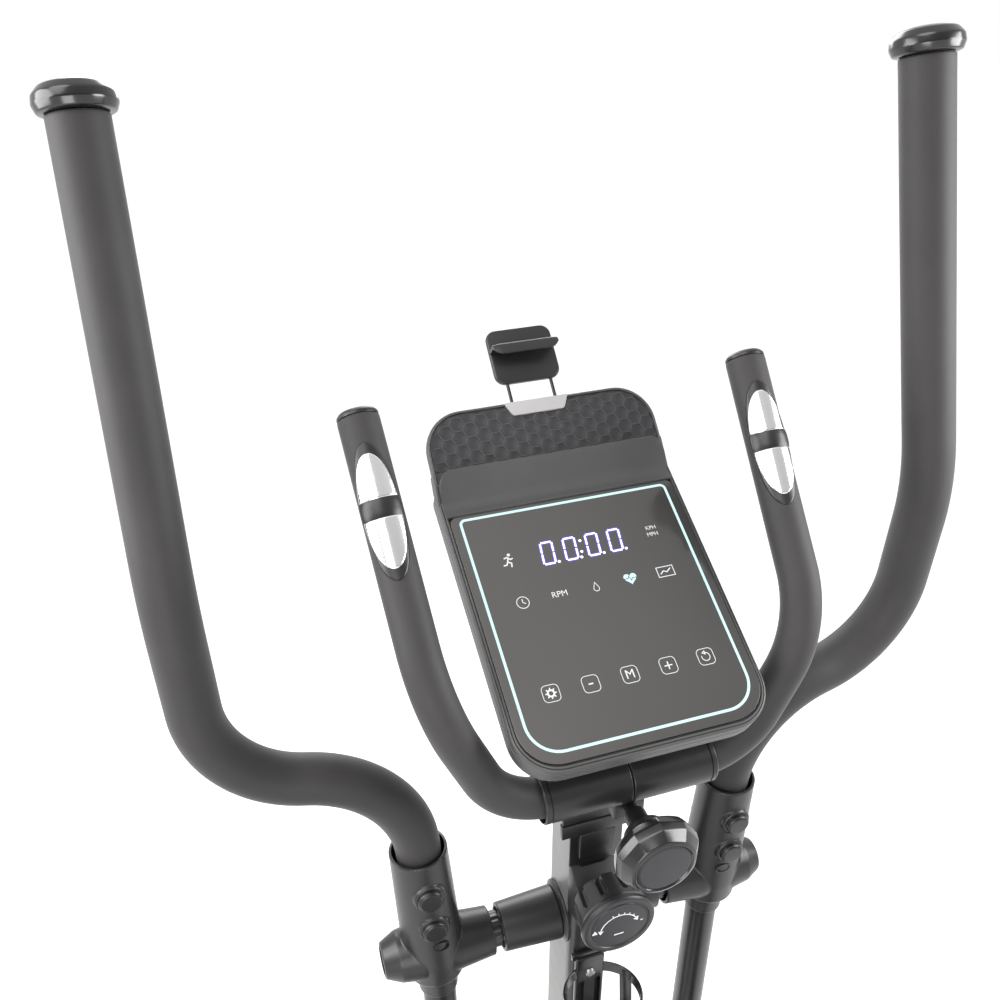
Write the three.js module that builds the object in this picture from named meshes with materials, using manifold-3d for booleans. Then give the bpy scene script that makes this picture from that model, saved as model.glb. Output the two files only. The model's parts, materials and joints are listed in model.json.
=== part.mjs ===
// Elliptical trainer with a touch console, pulse bar, swing handles and a rear belt drive.
// Millimetres. +Z up, +Y away from the user, +X to the user's right, floor at Z = 0.
import * as THREE from 'three';
import { mergeVertices } from 'three/addons/utils/BufferGeometryUtils.js';
import Module from 'manifold-3d';

const wasm = await Module();
wasm.setup();

const rad = THREE.MathUtils.degToRad;

// ---- Driving dimensions ----
const GAP = 0.3; // clearance between faces that touch
const AXLE_Y = 320;
const AXLE_Z = 950;
const AXLE_R = 8;
const MAST_LEAN = rad(8);
const MAST_W = 31;
const MAST_D = 56;
const MAST_CORNER = 7;
const MAST_CENTRE = -2; // mast centre line behind the axle
const MAST_WALL = 2.5;
const ARM_X = 127.6; // upright's centre at the axle
const ARM_LEAN = rad(2.7); // uprights, outwards at the top
const BEND_Z = -50; // the arm hangs straight down below this
const BEAM_X = ARM_X + BEND_Z * Math.tan(ARM_LEAN); // lower arms, pedal beams
const ARM_TILT = { left: rad(3.6), right: rad(8.3) };
const ARM_DROP = 670; // axle to lower pivot
const HANDLE_R = 15.9;
const FOAM_R = 19;
const FOAM_START = 104;
const RIM_Z = 113.4; // top of the joint cover
const CAP_R = 25;
const CAP_H = 18.6;
const BAR_R = 11;
const BAR_FOAM_R = 14.1;
const COVER_R = 18;
const COVER_BORE = 16.6; // clears the foam while the bar tilts
const COVER_END = 64;
const COVER_LAP = 9; // foam inside the cover's end
const CRANK = { y: -330, z: 284.5, r: 165 };
const CRANK_ANGLE = rad(99.6); // left crank, from +Y towards +Z
const FLY = { y: -150, z: 250, r: 105 };
const PULLEY_R = 125;
const FLY_PULLEY_R = 24;
const BEAM_L = 738.2;
const BEAM_TOP = 96.3; // top of the main beam
const FRONT_Y = 481;
const REAR_Y = -530;
const BEAM_OVERHANG = 20; // main beam beyond each stabilizer's centre line
const STAB_Z = 31;
const STAB_R = 25;
const CONSOLE_TILT = rad(34.86);
const CONSOLE_AT = [0, -71.9, 330.8]; // glass centre from the axle
const REST_TILT = rad(17.1); // tablet rest from the glass plane
const REST_AT = [0, 122, 7];
const REST_H = 46.6;
const REST_W = 177;

// Swing handle from the hub up to the cap, right side, in the arm's own frame.
const HANDLE_POINTS = [
  [128.6, 0, 22], [136.3, 0, 187], [274.3, 12.3, 214.8], [278.2, 9, 366], [276.5, 101.8, 653.5],
];
const HANDLE_RADII = [92, 80, 197];
// Pulse bar from the clamp out and up to its right end.
const BAR_POINTS = [[0, -103, 214], [89, -103, 214], [132.5, -116, 312], [141, -1.7, 466.7]];
const BAR_RADII = [55, 90];

// ---- Materials ----
const finish = (color, roughness, metalness = 0) =>
  new THREE.MeshStandardMaterial({ color, roughness, metalness });
const FOAM = finish(0x2b2a2b, 0.85);
const PLASTIC = finish(0x242426, 0.5);
const GLOSS = finish(0x0a0a0b, 0.12);
const PAINT = finish(0x1b1b1d, 0.4, 0.3);
const STEEL = finish(0x8d9093, 0.35, 0.9);
const CHROME = finish(0xd9dbdd, 0.12, 1);
const GLASS = finish(0x3a3835, 0.1);
const GREY = finish(0x8f8f91, 0.5);
const RUBBER = finish(0x161617, 0.9);
const IRON = finish(0x4c4d50, 0.6, 0.7);

// ---- Solid helpers ----
function toBare(geometry) {
  const bare = geometry.clone();
  bare.deleteAttribute('normal');
  bare.deleteAttribute('uv');
  return bare;
}

function toSolid(geometry) {
  const merged = mergeVertices(toBare(geometry), 1e-3);
  return new wasm.Manifold(new wasm.Mesh({
    numProp: 3,
    vertProperties: new Float32Array(merged.attributes.position.array),
    triVerts: new Uint32Array(merged.index.array),
  }));
}

function toGeometry(solid) {
  const mesh = solid.getMesh();
  const geometry = new THREE.BufferGeometry();
  geometry.setAttribute('position', new THREE.BufferAttribute(mesh.vertProperties, 3));
  geometry.setIndex(new THREE.BufferAttribute(mesh.triVerts, 1));
  return geometry;
}

const join = (...parts) => toGeometry(parts.map(toSolid).reduce((sum, part) => sum.add(part)));
const common = (first, second) => toGeometry(toSolid(first).intersect(toSolid(second)));
const cut = (body, ...tools) =>
  toGeometry(tools.map(toSolid).reduce((rest, tool) => rest.subtract(tool), toSolid(body)));

function mirrored(geometry) {
  const flipped = mergeVertices(toBare(geometry), 1e-4);
  flipped.applyMatrix4(new THREE.Matrix4().makeScale(-1, 1, 1));
  const index = flipped.index.array;
  for (let i = 0; i < index.length; i += 3) {
    [index[i], index[i + 1]] = [index[i + 1], index[i]];
  }
  return flipped;
}

const box = (x0, x1, y0, y1, z0, z1) => new THREE.BoxGeometry(x1 - x0, y1 - y0, z1 - z0)
  .translate((x0 + x1) / 2, (y0 + y1) / 2, (z0 + z1) / 2);

// Round bar along X, Y or Z between two stations, centred on the other two coordinates.
function bar(axis, radius, from, to, centre = [0, 0], sides = 12) {
  const geometry = new THREE.CylinderGeometry(radius, radius, to - from, sides);
  const middle = (from + to) / 2;
  if (axis === 'x') return geometry.rotateZ(-Math.PI / 2).translate(middle, centre[0], centre[1]);
  if (axis === 'y') return geometry.translate(centre[0], middle, centre[1]);
  return geometry.rotateX(Math.PI / 2).translate(centre[0], centre[1], middle);
}

// Turned piece: profile of [radius, height] pairs, turned about X, Y or Z.
function turned(axis, profile, sides = 16) {
  const points = profile.map(([r, h]) => new THREE.Vector2(r, h));
  const geometry = new THREE.LatheGeometry(points, sides);
  if (axis === 'x') return geometry.rotateZ(-Math.PI / 2);
  if (axis === 'z') return geometry.rotateX(Math.PI / 2);
  return geometry;
}

function outline(points) {
  return new THREE.Shape(points.map(([x, y]) => new THREE.Vector2(x, y)));
}

// Rounded rectangle centred on [cx, cy]; top and bottom corners may differ.
function roundRect(width, height, top, bottom = top, cx = 0, cy = 0) {
  const [x0, x1, y0, y1] = [cx - width / 2, cx + width / 2, cy - height / 2, cy + height / 2];
  const shape = new THREE.Shape();
  shape.moveTo(x0 + bottom, y0);
  shape.lineTo(x1 - bottom, y0);
  shape.absarc(x1 - bottom, y0 + bottom, bottom, -Math.PI / 2, 0);
  shape.absarc(x1 - top, y1 - top, top, 0, Math.PI / 2);
  shape.absarc(x0 + top, y1 - top, top, Math.PI / 2, Math.PI);
  shape.absarc(x0 + bottom, y0 + bottom, bottom, Math.PI, Math.PI * 1.5);
  return shape;
}

function prism(shape, z0, z1, curveSegments = 4) {
  return new THREE.ExtrudeGeometry(shape, { depth: z1 - z0, bevelEnabled: false, curveSegments })
    .translate(0, 0, z0);
}

// Prism whose outline lies in the YZ plane.
function sidePrism(shape, x0, x1, curveSegments = 4) {
  const turn = new THREE.Matrix4().makeBasis(
    new THREE.Vector3(0, 1, 0), new THREE.Vector3(0, 0, 1), new THREE.Vector3(1, 0, 0));
  return prism(shape, x0, x1, curveSegments).applyMatrix4(turn);
}

// Polyline with round corners; its stations fall at the ends of straights and along the arcs.
class RoundedPath extends THREE.Curve {
  constructor(points, radii, arcStep = rad(20)) {
    super();
    this.stations = [];
    const corners = points.map((p) => new THREE.Vector3(...p));
    const add = (at, along) => this.stations.push({ at, along });
    const first = corners[1].clone().sub(corners[0]).normalize();
    add(corners[0], first);
    for (let i = 1; i < corners.length - 1; i += 1) {
      const into = corners[i].clone().sub(corners[i - 1]).normalize();
      const out = corners[i + 1].clone().sub(corners[i]).normalize();
      const turn = into.angleTo(out);
      const start = corners[i].clone().addScaledVector(into, -radii[i - 1] * Math.tan(turn / 2));
      const side = out.clone().addScaledVector(into, -out.dot(into)).normalize();
      const steps = Math.max(2, Math.ceil(turn / arcStep));
      for (let k = 0; k <= steps; k += 1) {
        const angle = (turn * k) / steps;
        const at = start.clone().addScaledVector(into, radii[i - 1] * Math.sin(angle))
          .addScaledVector(side, radii[i - 1] * (1 - Math.cos(angle)));
        const along = into.clone().multiplyScalar(Math.cos(angle))
          .addScaledVector(side, Math.sin(angle));
        add(at, along);
      }
    }
    const last = corners[corners.length - 1];
    add(last, last.clone().sub(corners[corners.length - 2]).normalize());
  }

  get steps() {
    return this.stations.length - 1;
  }

  getPoint(t, target = new THREE.Vector3()) {
    const place = Math.min(t * this.steps, this.steps - 1e-9);
    const i = Math.floor(place);
    return target.lerpVectors(this.stations[i].at, this.stations[i + 1].at, place - i);
  }

  getTangent(t, target = new THREE.Vector3()) {
    return target.copy(this.stations[Math.round(t * this.steps)].along);
  }

  getPointAt(t, target) {
    return this.getPoint(t, target);
  }

  getTangentAt(t, target) {
    return this.getTangent(t, target);
  }

  // The part of the path beyond the first station at which test(point) holds.
  after(test) {
    const rest = new RoundedPath([[0, 0, 0], [0, 0, 1]], []);
    const i = this.stations.findIndex(({ at }) => test(at));
    const before = this.stations[i - 1];
    let [low, high] = [0, 1];
    for (let k = 0; k < 40; k += 1) {
      const mid = (low + high) / 2;
      if (test(before.at.clone().lerp(this.stations[i].at, mid))) high = mid;
      else low = mid;
    }
    const at = before.at.clone().lerp(this.stations[i].at, high);
    const along = before.along.clone().lerp(this.stations[i].along, high).normalize();
    rest.stations = [{ at, along }, ...this.stations.slice(i)];
    return rest;
  }
}

function ring(radius, sides) {
  const points = [];
  for (let i = 0; i < sides; i += 1) {
    const angle = (2 * Math.PI * i) / sides;
    points.push(new THREE.Vector2(radius * Math.cos(angle), radius * Math.sin(angle)));
  }
  return points;
}

// Tube along a path; inner radius 0 gives a solid bar.
function tube(path, outer, inner = 0, outerSides = 12, innerSides = 8) {
  const section = new THREE.Shape(ring(outer, outerSides));
  if (inner > 0) section.holes.push(new THREE.Path(ring(inner, innerSides).reverse()));
  return new THREE.ExtrudeGeometry(section, { steps: path.steps, extrudePath: path });
}

// ---- Scene graph ----
const model = new THREE.Group();
const upper = new THREE.Group(); // origin on the swing axle
upper.position.set(0, AXLE_Y, AXLE_Z);
const mastFrame = new THREE.Group(); // z along the mast
mastFrame.rotation.x = MAST_LEAN;
const consoleFrame = new THREE.Group(); // x across, y up the glass, z out of the glass
consoleFrame.position.set(...CONSOLE_AT);
consoleFrame.rotation.x = CONSOLE_TILT;
const restFrame = new THREE.Group(); // y up the tablet rest, z out of it
restFrame.position.set(...REST_AT);
restFrame.rotation.x = REST_TILT;
model.add(upper);
upper.add(mastFrame, consoleFrame);
consoleFrame.add(restFrame);

function part(name, geometry, material, parent = model) {
  const mesh = new THREE.Mesh(geometry, material);
  mesh.name = name;
  parent.add(mesh);
}

const SIDES = ['left', 'right'];
const sided = (side, geometry) => (side === 'left' ? mirrored(geometry) : geometry);

// ---- Base ----
function mainBeam() {
  const length = FRONT_Y - REAR_Y + 2 * BEAM_OVERHANG;
  const middle = (FRONT_Y + REAR_Y) / 2;
  const tubeOut = box(-30, 30, middle - length / 2, middle + length / 2, BEAM_TOP - 40, BEAM_TOP);
  const tubeIn = box(-27.5, 27.5, middle - length, middle + length, BEAM_TOP - 37.5, BEAM_TOP - 2.5);
  return cut(tubeOut, tubeIn);
}

const WHEEL = { y: FRONT_Y + 52, z: 34, r: 25, half: 11, x: 215 };

function stabilizer(y, half, wheels) {
  const parts = [bar('x', STAB_R, -half, half, [y, STAB_Z], 16)];
  if (wheels) {
    for (const sign of [-1, 1]) {
      for (const ear of [-1, 1]) {
        const x = sign * WHEEL.x + ear * (WHEEL.half + 3);
        parts.push(box(x - 2, x + 2, y + 15, WHEEL.y + 12, WHEEL.z - 10, WHEEL.z + 10));
      }
      parts.push(bar('x', 4, sign * WHEEL.x - 15, sign * WHEEL.x + 15, [WHEEL.y, WHEEL.z], 10));
    }
  }
  return cut(join(...parts), bar('x', STAB_R - 2, -half - 1, half + 1, [y, STAB_Z], 12));
}

function wheel(sign) {
  const profile = [
    [4.3, -WHEEL.half], [WHEEL.r - 3, -WHEEL.half], [WHEEL.r, -WHEEL.half + 3],
    [WHEEL.r, WHEEL.half - 3], [WHEEL.r - 3, WHEEL.half], [4.3, WHEEL.half], [4.3, -WHEEL.half],
  ];
  return turned('x', profile, 16).translate(sign * WHEEL.x, WHEEL.y, WHEEL.z);
}

// End cap of a stabilizer tube with its flat foot on the floor.
function foot(sign, y, half) {
  const [inner, outer] = [half - 42, half + 6];
  const shell = bar('x', STAB_R + 3, inner, outer, [y, STAB_Z], 16);
  const pad = box(inner + 4, outer - 4, y - 20, y + 20, 0, STAB_Z - 14);
  const bore = bar('x', STAB_R + GAP, inner - 1, half + GAP, [y, STAB_Z], 16);
  const solid = cut(join(shell, pad), bore);
  return sign < 0 ? mirrored(solid) : solid;
}

const FRONT_HALF = 285;
const REAR_HALF = 265;

part('main_beam', mainBeam(), PAINT);
part('front_stabilizer', stabilizer(FRONT_Y, FRONT_HALF, true), PAINT);
part('rear_stabilizer', stabilizer(REAR_Y, REAR_HALF, false), PAINT);
for (const [side, sign] of [['left', -1], ['right', 1]]) {
  part(`front_foot_${side}`, foot(sign, FRONT_Y, FRONT_HALF), RUBBER);
  part(`rear_foot_${side}`, foot(sign, REAR_Y, REAR_HALF), RUBBER);
  part(`transport_wheel_${side}`, wheel(sign), RUBBER);
}

// ---- Mast, sleeves and axle ----
const MAST_LOW = -880;
const MAST_HIGH = 345;
const floorBelow = (z) => box(-200, 200, -400, 700, z - 400, z)
  .translate(0, -AXLE_Y, -AXLE_Z).rotateX(-MAST_LEAN);

function mastOutline(offset) {
  const corner = MAST_CORNER + offset;
  return roundRect(MAST_W + 2 * offset, MAST_D + 2 * offset, corner, corner, 0, MAST_CENTRE);
}

function mast() {
  const section = mastOutline(0);
  section.holes.push(new THREE.Path(mastOutline(-MAST_WALL).getPoints(2).reverse()));
  const above = box(-200, 200, -300, 300, -25.6, 400).rotateX(CONSOLE_TILT)
    .translate(...CONSOLE_AT).rotateX(-MAST_LEAN);
  return cut(prism(section, MAST_LOW, MAST_HIGH, 3), floorBelow(BEAM_TOP + GAP), above,
    bar('x', AXLE_R + GAP, -40, 40));
}

function mastBoot() {
  const height = 130;
  const cone = new THREE.CylinderGeometry(1, 1.45, height, 20).rotateX(Math.PI / 2)
    .scale(MAST_W / 2 + 8, MAST_D / 2 + 8, 1).translate(0, MAST_CENTRE, MAST_LOW + height / 2 + 8);
  return cut(cone, prism(mastOutline(GAP + 0.2), MAST_LOW - 40, MAST_LOW + 200),
    floorBelow(BEAM_TOP + GAP));
}

const SLEEVE = { collarR: 26.5, collarEnd: 20, nearR: 22.6, farR: 20.2, end: 70 };

function axleSleeve() {
  const near = MAST_W / 2 + GAP;
  const bore = AXLE_R + GAP;
  return turned('x', [
    [bore, near], [SLEEVE.collarR, near], [SLEEVE.collarR, SLEEVE.collarEnd - 0.6],
    [SLEEVE.nearR, SLEEVE.collarEnd], [SLEEVE.farR, SLEEVE.end], [bore, SLEEVE.end], [bore, near],
  ]);
}

part('mast', mast(), PAINT, mastFrame);
part('mast_boot', mastBoot(), PLASTIC, mastFrame);
part('swing_axle', bar('x', AXLE_R, -162, 162), STEEL, upper);
for (const side of SIDES) part(`axle_sleeve_${side}`, sided(side, axleSleeve()), PLASTIC, upper);

// ---- Swing arms, handles and joint covers, each in its arm's own tilted frame ----
const handlePath = new RoundedPath(HANDLE_POINTS, HANDLE_RADII);

const leaned = (geometry) => geometry.rotateY(ARM_LEAN).translate(ARM_X, 0, 0);

function swingArm() {
  const hub = join(bar('x', 17, 80, 160, [0, 0], 14), bar('x', 15, SLEEVE.end + 0.5, 81, [0, 0], 14));
  const upright = join(bar('z', 18.5, 0, 98, [0, 0], 14), bar('z', 14, BEND_Z - 1, 0, [0, 0], 12));
  const shank = bar('z', 14, -ARM_DROP, BEND_Z + 1, [BEAM_X, 0], 12);
  const bush = bar('x', 16, BEAM_X - 15, BEAM_X + 15, [0, -ARM_DROP], 14);
  return cut(join(hub, leaned(upright), shank, bush),
    bar('x', AXLE_R + GAP, 60, 170, [0, 0], 12),
    leaned(bar('z', 17, 20, 99)),
    leaned(bar('z', 12, BEND_Z, -22, [0, 0], 8)),
    bar('z', 12, 24 - ARM_DROP, BEND_Z, [BEAM_X, 0], 8),
    bar('x', 3, BEAM_X, BEAM_X + 20, [0, 30 - ARM_DROP], 4),
    bar('x', 8.3, 100, 160, [0, -ARM_DROP], 12));
}

const BOSS = { r: 13, half: 25.5, heights: [82, 47.6] };

function jointCover() {
  const upright = turned('z', [
    [0, -44], [17, -44], [17, -27], [27, -12], [25.5, 30], [23.2, RIM_Z], [0, RIM_Z],
  ], 12);
  const hub = turned('x', [
    [0, 78], [20.5, 78], [24, ARM_X], [21, 158], [14, 171], [0, 171],
  ], 12);
  const bosses = BOSS.heights.map((z) => bar('y', BOSS.r, -BOSS.half, BOSS.half, [0, z], 8));
  return cut(join(leaned(join(upright, ...bosses)), hub),
    leaned(bar('z', 19.6, -19, 97, [0, 0], 12)),
    leaned(bar('z', 21.6, 96, RIM_Z + 1)),
    leaned(bar('z', 14.6, -50, 0, [0, 0], 12)),
    bar('x', 17.8, 70, 163));
}

function handleCap() {
  const top = handlePath.stations[handlePath.steps];
  const profile = [[0, 0], [20, 0], [24.2, 3], [CAP_R, 7], [22, 13.5], [0, CAP_H]];
  const turn = new THREE.Quaternion().setFromUnitVectors(new THREE.Vector3(0, 0, 1), top.along);
  const start = top.at.clone().addScaledVector(top.along, GAP);
  return turned('z', profile, 18).applyQuaternion(turn).translate(start.x, start.y, start.z);
}

const armFrames = {};
for (const side of SIDES) {
  const frame = new THREE.Group();
  frame.rotation.x = ARM_TILT[side];
  upper.add(frame);
  armFrames[side] = frame;
  const foamPath = handlePath.after((p) => p.z > FOAM_START);
  part(`swing_arm_${side}`, sided(side, swingArm()), PAINT, frame);
  part(`handle_tube_${side}`, sided(side, tube(handlePath, HANDLE_R, 13.9, 8, 6)), PAINT, frame);
  part(`handle_foam_${side}`, sided(side, tube(foamPath, FOAM_R, HANDLE_R + GAP, 12, 8)), FOAM, frame);
  part(`handle_cap_${side}`, sided(side, handleCap()), GLOSS, frame);
  part(`joint_cover_${side}`, sided(side, jointCover()), PLASTIC, frame);
}

// ---- Pedal beams: front end on the arm, rear end on the crank pin ----
const CRANK_X = 60; // inner face of the crank arms
const CRANK_T = 14;

function pedalBeam() {
  const web = box(BEAM_X - 15, BEAM_X + 15, -BEAM_L + 12, -42, -20, 20);
  const hollow = box(BEAM_X - 12.5, BEAM_X + 12.5, -BEAM_L + 60, -80, -17.5, 17.5);
  const drain = box(BEAM_X - 3, BEAM_X + 3, -BEAM_L + 80, -BEAM_L + 90, -25, 0);
  const ears = [-1, 1].map((ear) => {
    const x = BEAM_X + ear * 18;
    const plate = roundRect(90, 36, 14, 14, -27, 0);
    return sidePrism(plate, x - 2.5, x + 2.5, 3);
  });
  const knuckle = box(BEAM_X - 18, BEAM_X + 18, -70, -36, -17, 17);
  const pivot = bar('x', 8, BEAM_X - 20, BEAM_X + 20, [0, 0], 10);
  const hub = bar('x', 22, BEAM_X - 18, BEAM_X + 18, [-BEAM_L, 0], 14);
  const bore = bar('x', 10 + GAP, BEAM_X - 30, BEAM_X + 30, [-BEAM_L, 0], 12);
  return cut(join(web, knuckle, ...ears, pivot, hub), hollow, drain, bore);
}

const PEDAL = { x0: 84, x1: 214, y0: -460, y1: -120, z0: 20 + GAP };

function pedal() {
  const [w, l] = [PEDAL.x1 - PEDAL.x0, PEDAL.y1 - PEDAL.y0];
  const [cx, cy] = [(PEDAL.x0 + PEDAL.x1) / 2, (PEDAL.y0 + PEDAL.y1) / 2];
  const body = prism(roundRect(w, l, 50, 30, cx, cy), PEDAL.z0, PEDAL.z0 + 34);
  const well = prism(roundRect(w - 12, l - 12, 44, 24, cx, cy), PEDAL.z0 + 12, PEDAL.z0 + 60);
  const lowRear = box(PEDAL.x0 - 1, PEDAL.x1 + 1, PEDAL.y0 - 1, PEDAL.y0 + 110, PEDAL.z0 + 20, 80);
  return cut(body, well, lowRear);
}

function crankPin() {
  return join(bar('x', 10, CRANK_X + CRANK_T + 3, BEAM_X + 22, [-BEAM_L, 0]),
    bar('x', 15, BEAM_X + 19, BEAM_X + 26, [-BEAM_L, 0]));
}

const crankTip = {
  left: [CRANK.r * Math.cos(CRANK_ANGLE), CRANK.r * Math.sin(CRANK_ANGLE)],
  right: [-CRANK.r * Math.cos(CRANK_ANGLE), -CRANK.r * Math.sin(CRANK_ANGLE)],
};

for (const side of SIDES) {
  const tilt = ARM_TILT[side];
  const pivot = [AXLE_Y + ARM_DROP * Math.sin(tilt), AXLE_Z - ARM_DROP * Math.cos(tilt)];
  const pin = [CRANK.y + crankTip[side][0], CRANK.z + crankTip[side][1]];
  const frame = new THREE.Group();
  frame.position.set(0, pivot[0], pivot[1]);
  frame.rotation.x = -Math.atan2(pin[1] - pivot[1], pivot[0] - pin[0]);
  model.add(frame);
  part(`pedal_beam_${side}`, sided(side, pedalBeam()), PAINT, frame);
  part(`pedal_${side}`, sided(side, pedal()), PLASTIC, frame);
  part(`crank_pin_${side}`, sided(side, crankPin()), STEEL, frame);
}

// ---- Rear drive: cranks, pulley, belt, flywheel, brake and housing ----
const SHAFT_R = 10;

function crankArm(side) {
  const length = CRANK.r;
  const blade = join(
    bar('x', 22, CRANK_X, CRANK_X + CRANK_T, [0, 0], 16),
    bar('x', 17, CRANK_X, CRANK_X + CRANK_T, [length, 0], 12),
    sidePrism(outline([[0, -20], [length, -15], [length, 15], [0, 20]]), CRANK_X, CRANK_X + CRANK_T),
  );
  const bored = cut(blade, bar('x', SHAFT_R + 0.7, CRANK_X - 5, CRANK_X + 40));
  const angle = Math.atan2(crankTip[side][1], crankTip[side][0]);
  return bored.rotateX(angle).translate(0, CRANK.y, CRANK.z);
}

function drivePulley() {
  const rim = turned('x', [[104, 9], [PULLEY_R, 9], [PULLEY_R, 25], [104, 25], [104, 9]], 20);
  const web = bar('x', 106, 15, 19, [0, 0], 20);
  const shaft = bar('x', SHAFT_R, -CRANK_X - CRANK_T + 1, CRANK_X + CRANK_T - 1, [0, 0], 12);
  const hub = bar('x', 26, 11, 23, [0, 0], 12);
  return join(rim, web, hub, shaft).translate(0, CRANK.y, CRANK.z);
}

function flywheel() {
  const rim = turned('x', [[80, -34], [FLY.r, -34], [FLY.r, -9], [80, -9], [80, -34]], 20);
  const web = bar('x', 82, -25, -18, [0, 0], 20);
  const shaft = bar('x', 8, -38, 27);
  const small = bar('x', FLY_PULLEY_R, 9, 25, [0, 0], 16);
  return join(rim, web, shaft, small).translate(0, FLY.y, FLY.z);
}

// Outline round two circles in the YZ plane, both grown by the same margin.
function aroundPulleys(bigR, smallR, steps = 9) {
  const [dy, dz] = [FLY.y - CRANK.y, FLY.z - CRANK.z];
  const line = Math.atan2(dz, dy);
  const lean = Math.acos((bigR - smallR) / Math.hypot(dy, dz));
  const points = [];
  const arc = (y, z, r, from, to, count) => {
    for (let i = 0; i <= count; i += 1) {
      const angle = from + ((to - from) * i) / count;
      points.push([y + r * Math.cos(angle), z + r * Math.sin(angle)]);
    }
  };
  arc(FLY.y, FLY.z, smallR, line - lean, line + lean, steps);
  arc(CRANK.y, CRANK.z, bigR, line + lean, line - lean + 2 * Math.PI, steps * 2);
  return outline(points);
}

function driveBelt() {
  const loop = sidePrism(aroundPulleys(PULLEY_R + 4, FLY_PULLEY_R + 4, 10), 10, 24);
  const hole = sidePrism(aroundPulleys(PULLEY_R + 1.4, FLY_PULLEY_R + 1, 10), 9, 25);
  return cut(loop, hole);
}

const BRAKE = { inner: 108.5, outer: 118, from: rad(12), to: rad(78), pivot: rad(84) };

function polar(radius, angle) {
  return [FLY.y + radius * Math.cos(angle), FLY.z + radius * Math.sin(angle)];
}

function brakeMagnet() {
  const points = [];
  const steps = 8;
  for (let i = 0; i <= steps; i += 1) {
    points.push(polar(BRAKE.outer, BRAKE.from + ((BRAKE.to - BRAKE.from) * i) / steps));
  }
  for (let i = steps; i >= 0; i -= 1) {
    points.push(polar(BRAKE.inner, BRAKE.from + ((BRAKE.to - BRAKE.from) * i) / steps));
  }
  const shoe = sidePrism(outline(points), -33, -10);
  const [y, z] = polar(119, BRAKE.pivot);
  const [ay, az] = polar(114, BRAKE.to - rad(2));
  const knuckle = bar('x', 9, -33, -10, [y, z], 14);
  const arm = box(-33, -10, -2, Math.hypot(y - ay, z - az), -3.5, 3.5)
    .rotateX(Math.atan2(z - az, y - ay)).translate(0, ay, az);
  return cut(join(shoe, knuckle, arm), bar('x', 5 + GAP, -50, 0, [y, z], 8));
}

function driveBracket() {
  const plate = sidePrism(outline([
    [CRANK.y - 40, BEAM_TOP + GAP], [FLY.y + 95, BEAM_TOP + GAP], [FLY.y + 40, FLY.z + 20],
    [FLY.y + 24, FLY.z + 132], [FLY.y - 4, FLY.z + 132], [FLY.y - 30, FLY.z + 30],
    [CRANK.y + 34, CRANK.z + 30], [CRANK.y - 34, CRANK.z + 30],
  ]), -4, 4);
  const [y, z] = polar(119, BRAKE.pivot);
  const boss = bar('x', 24, -7, 7, [CRANK.y, CRANK.z]);
  const flyBoss = bar('x', 18, -7, 7, [FLY.y, FLY.z]);
  return cut(join(plate, boss, flyBoss, bar('x', 5, -36, 0, [y, z], 8)),
    bar('x', SHAFT_R + 0.35, -20, 20, [CRANK.y, CRANK.z]),
    bar('x', 8.35, -20, 20, [FLY.y, FLY.z]));
}

const SHELL = { big: 184, small: 146, half: 50, wall: 3 };

function housingShell() {
  const outer = sidePrism(aroundPulleys(SHELL.big, SHELL.small, 10), 0.2, SHELL.half);
  const inner = sidePrism(aroundPulleys(SHELL.big - SHELL.wall, SHELL.small - SHELL.wall, 10),
    -1, SHELL.half - SHELL.wall);
  return cut(outer, inner, bar('x', 24, 0, 80, [CRANK.y, CRANK.z], 20),
    box(-10, 4.6, CRANK.y - 60, FLY.y + 120, 60, 180));
}

const crankParts = { left: mirrored(crankArm('left')), right: crankArm('right') };
for (const side of SIDES) {
  part(`crank_${side}`, crankParts[side], IRON);
  part(`housing_${side}`, sided(side, housingShell()), PLASTIC);
}
part('drive_pulley', drivePulley(), PLASTIC);
part('drive_belt', driveBelt(), RUBBER);
part('flywheel', flywheel(), IRON);
part('brake_magnet', brakeMagnet(), STEEL);
part('drive_bracket', driveBracket(), PAINT);

// ---- Pulse bar with its clamp, covers, foam, sensors and plugs ----
const halfBar = new RoundedPath(BAR_POINTS, BAR_RADII);
const barPath = new RoundedPath(
  [...BAR_POINTS.slice(1).reverse().map(([x, y, z]) => [-x, y, z]), ...BAR_POINTS.slice(1)],
  [...BAR_RADII].reverse().concat(BAR_RADII),
);
const barEnd = halfBar.stations[halfBar.steps];
const barSpan = new THREE.Vector3(...BAR_POINTS[3]).sub(new THREE.Vector3(...BAR_POINTS[2]));

// Bar centre in the mast's frame.
const barCentre = new THREE.Vector3(...BAR_POINTS[0])
  .applyAxisAngle(new THREE.Vector3(1, 0, 0), -MAST_LEAN);
const CLAMP_AXIS_Z = 208.6; // clamp screw height along the mast
const LUG_FRONT = -86;
const BRACKET = { half: 22, low: 95, high: 222, thick: 3 };
const BRACKET_HEAD = { half: 30, low: 131, high: 157, front: -36.5 };
const BRACKET_NECK = { half: 15, low: 105, high: 133, front: -36 };

function handlebarClamp() {
  const front = MAST_CENTRE - MAST_D / 2 - GAP;
  const { half, low, high, thick } = BRACKET;
  const back = box(-half, half, front - thick, front, low, high);
  const [head, neck] = [BRACKET_HEAD, BRACKET_NECK]
    .map((block) => box(-block.half, block.half, block.front, front, block.low, block.high));
  const lug = box(-12, 12, LUG_FRONT, front - 2, 198, barCentre.z);
  return cut(join(back, head, neck, lug),
    bar('x', BAR_R + GAP, -30, 30, [barCentre.y, barCentre.z], 20),
    box(-13, 13, LUG_FRONT - 1, barCentre.y + 4, barCentre.z - 3, barCentre.z + 9),
    bar('y', 5, LUG_FRONT - 1, barCentre.y + 26, [0, CLAMP_AXIS_Z], 12),
    prism(mastOutline(GAP), 90, 240));
}

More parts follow.
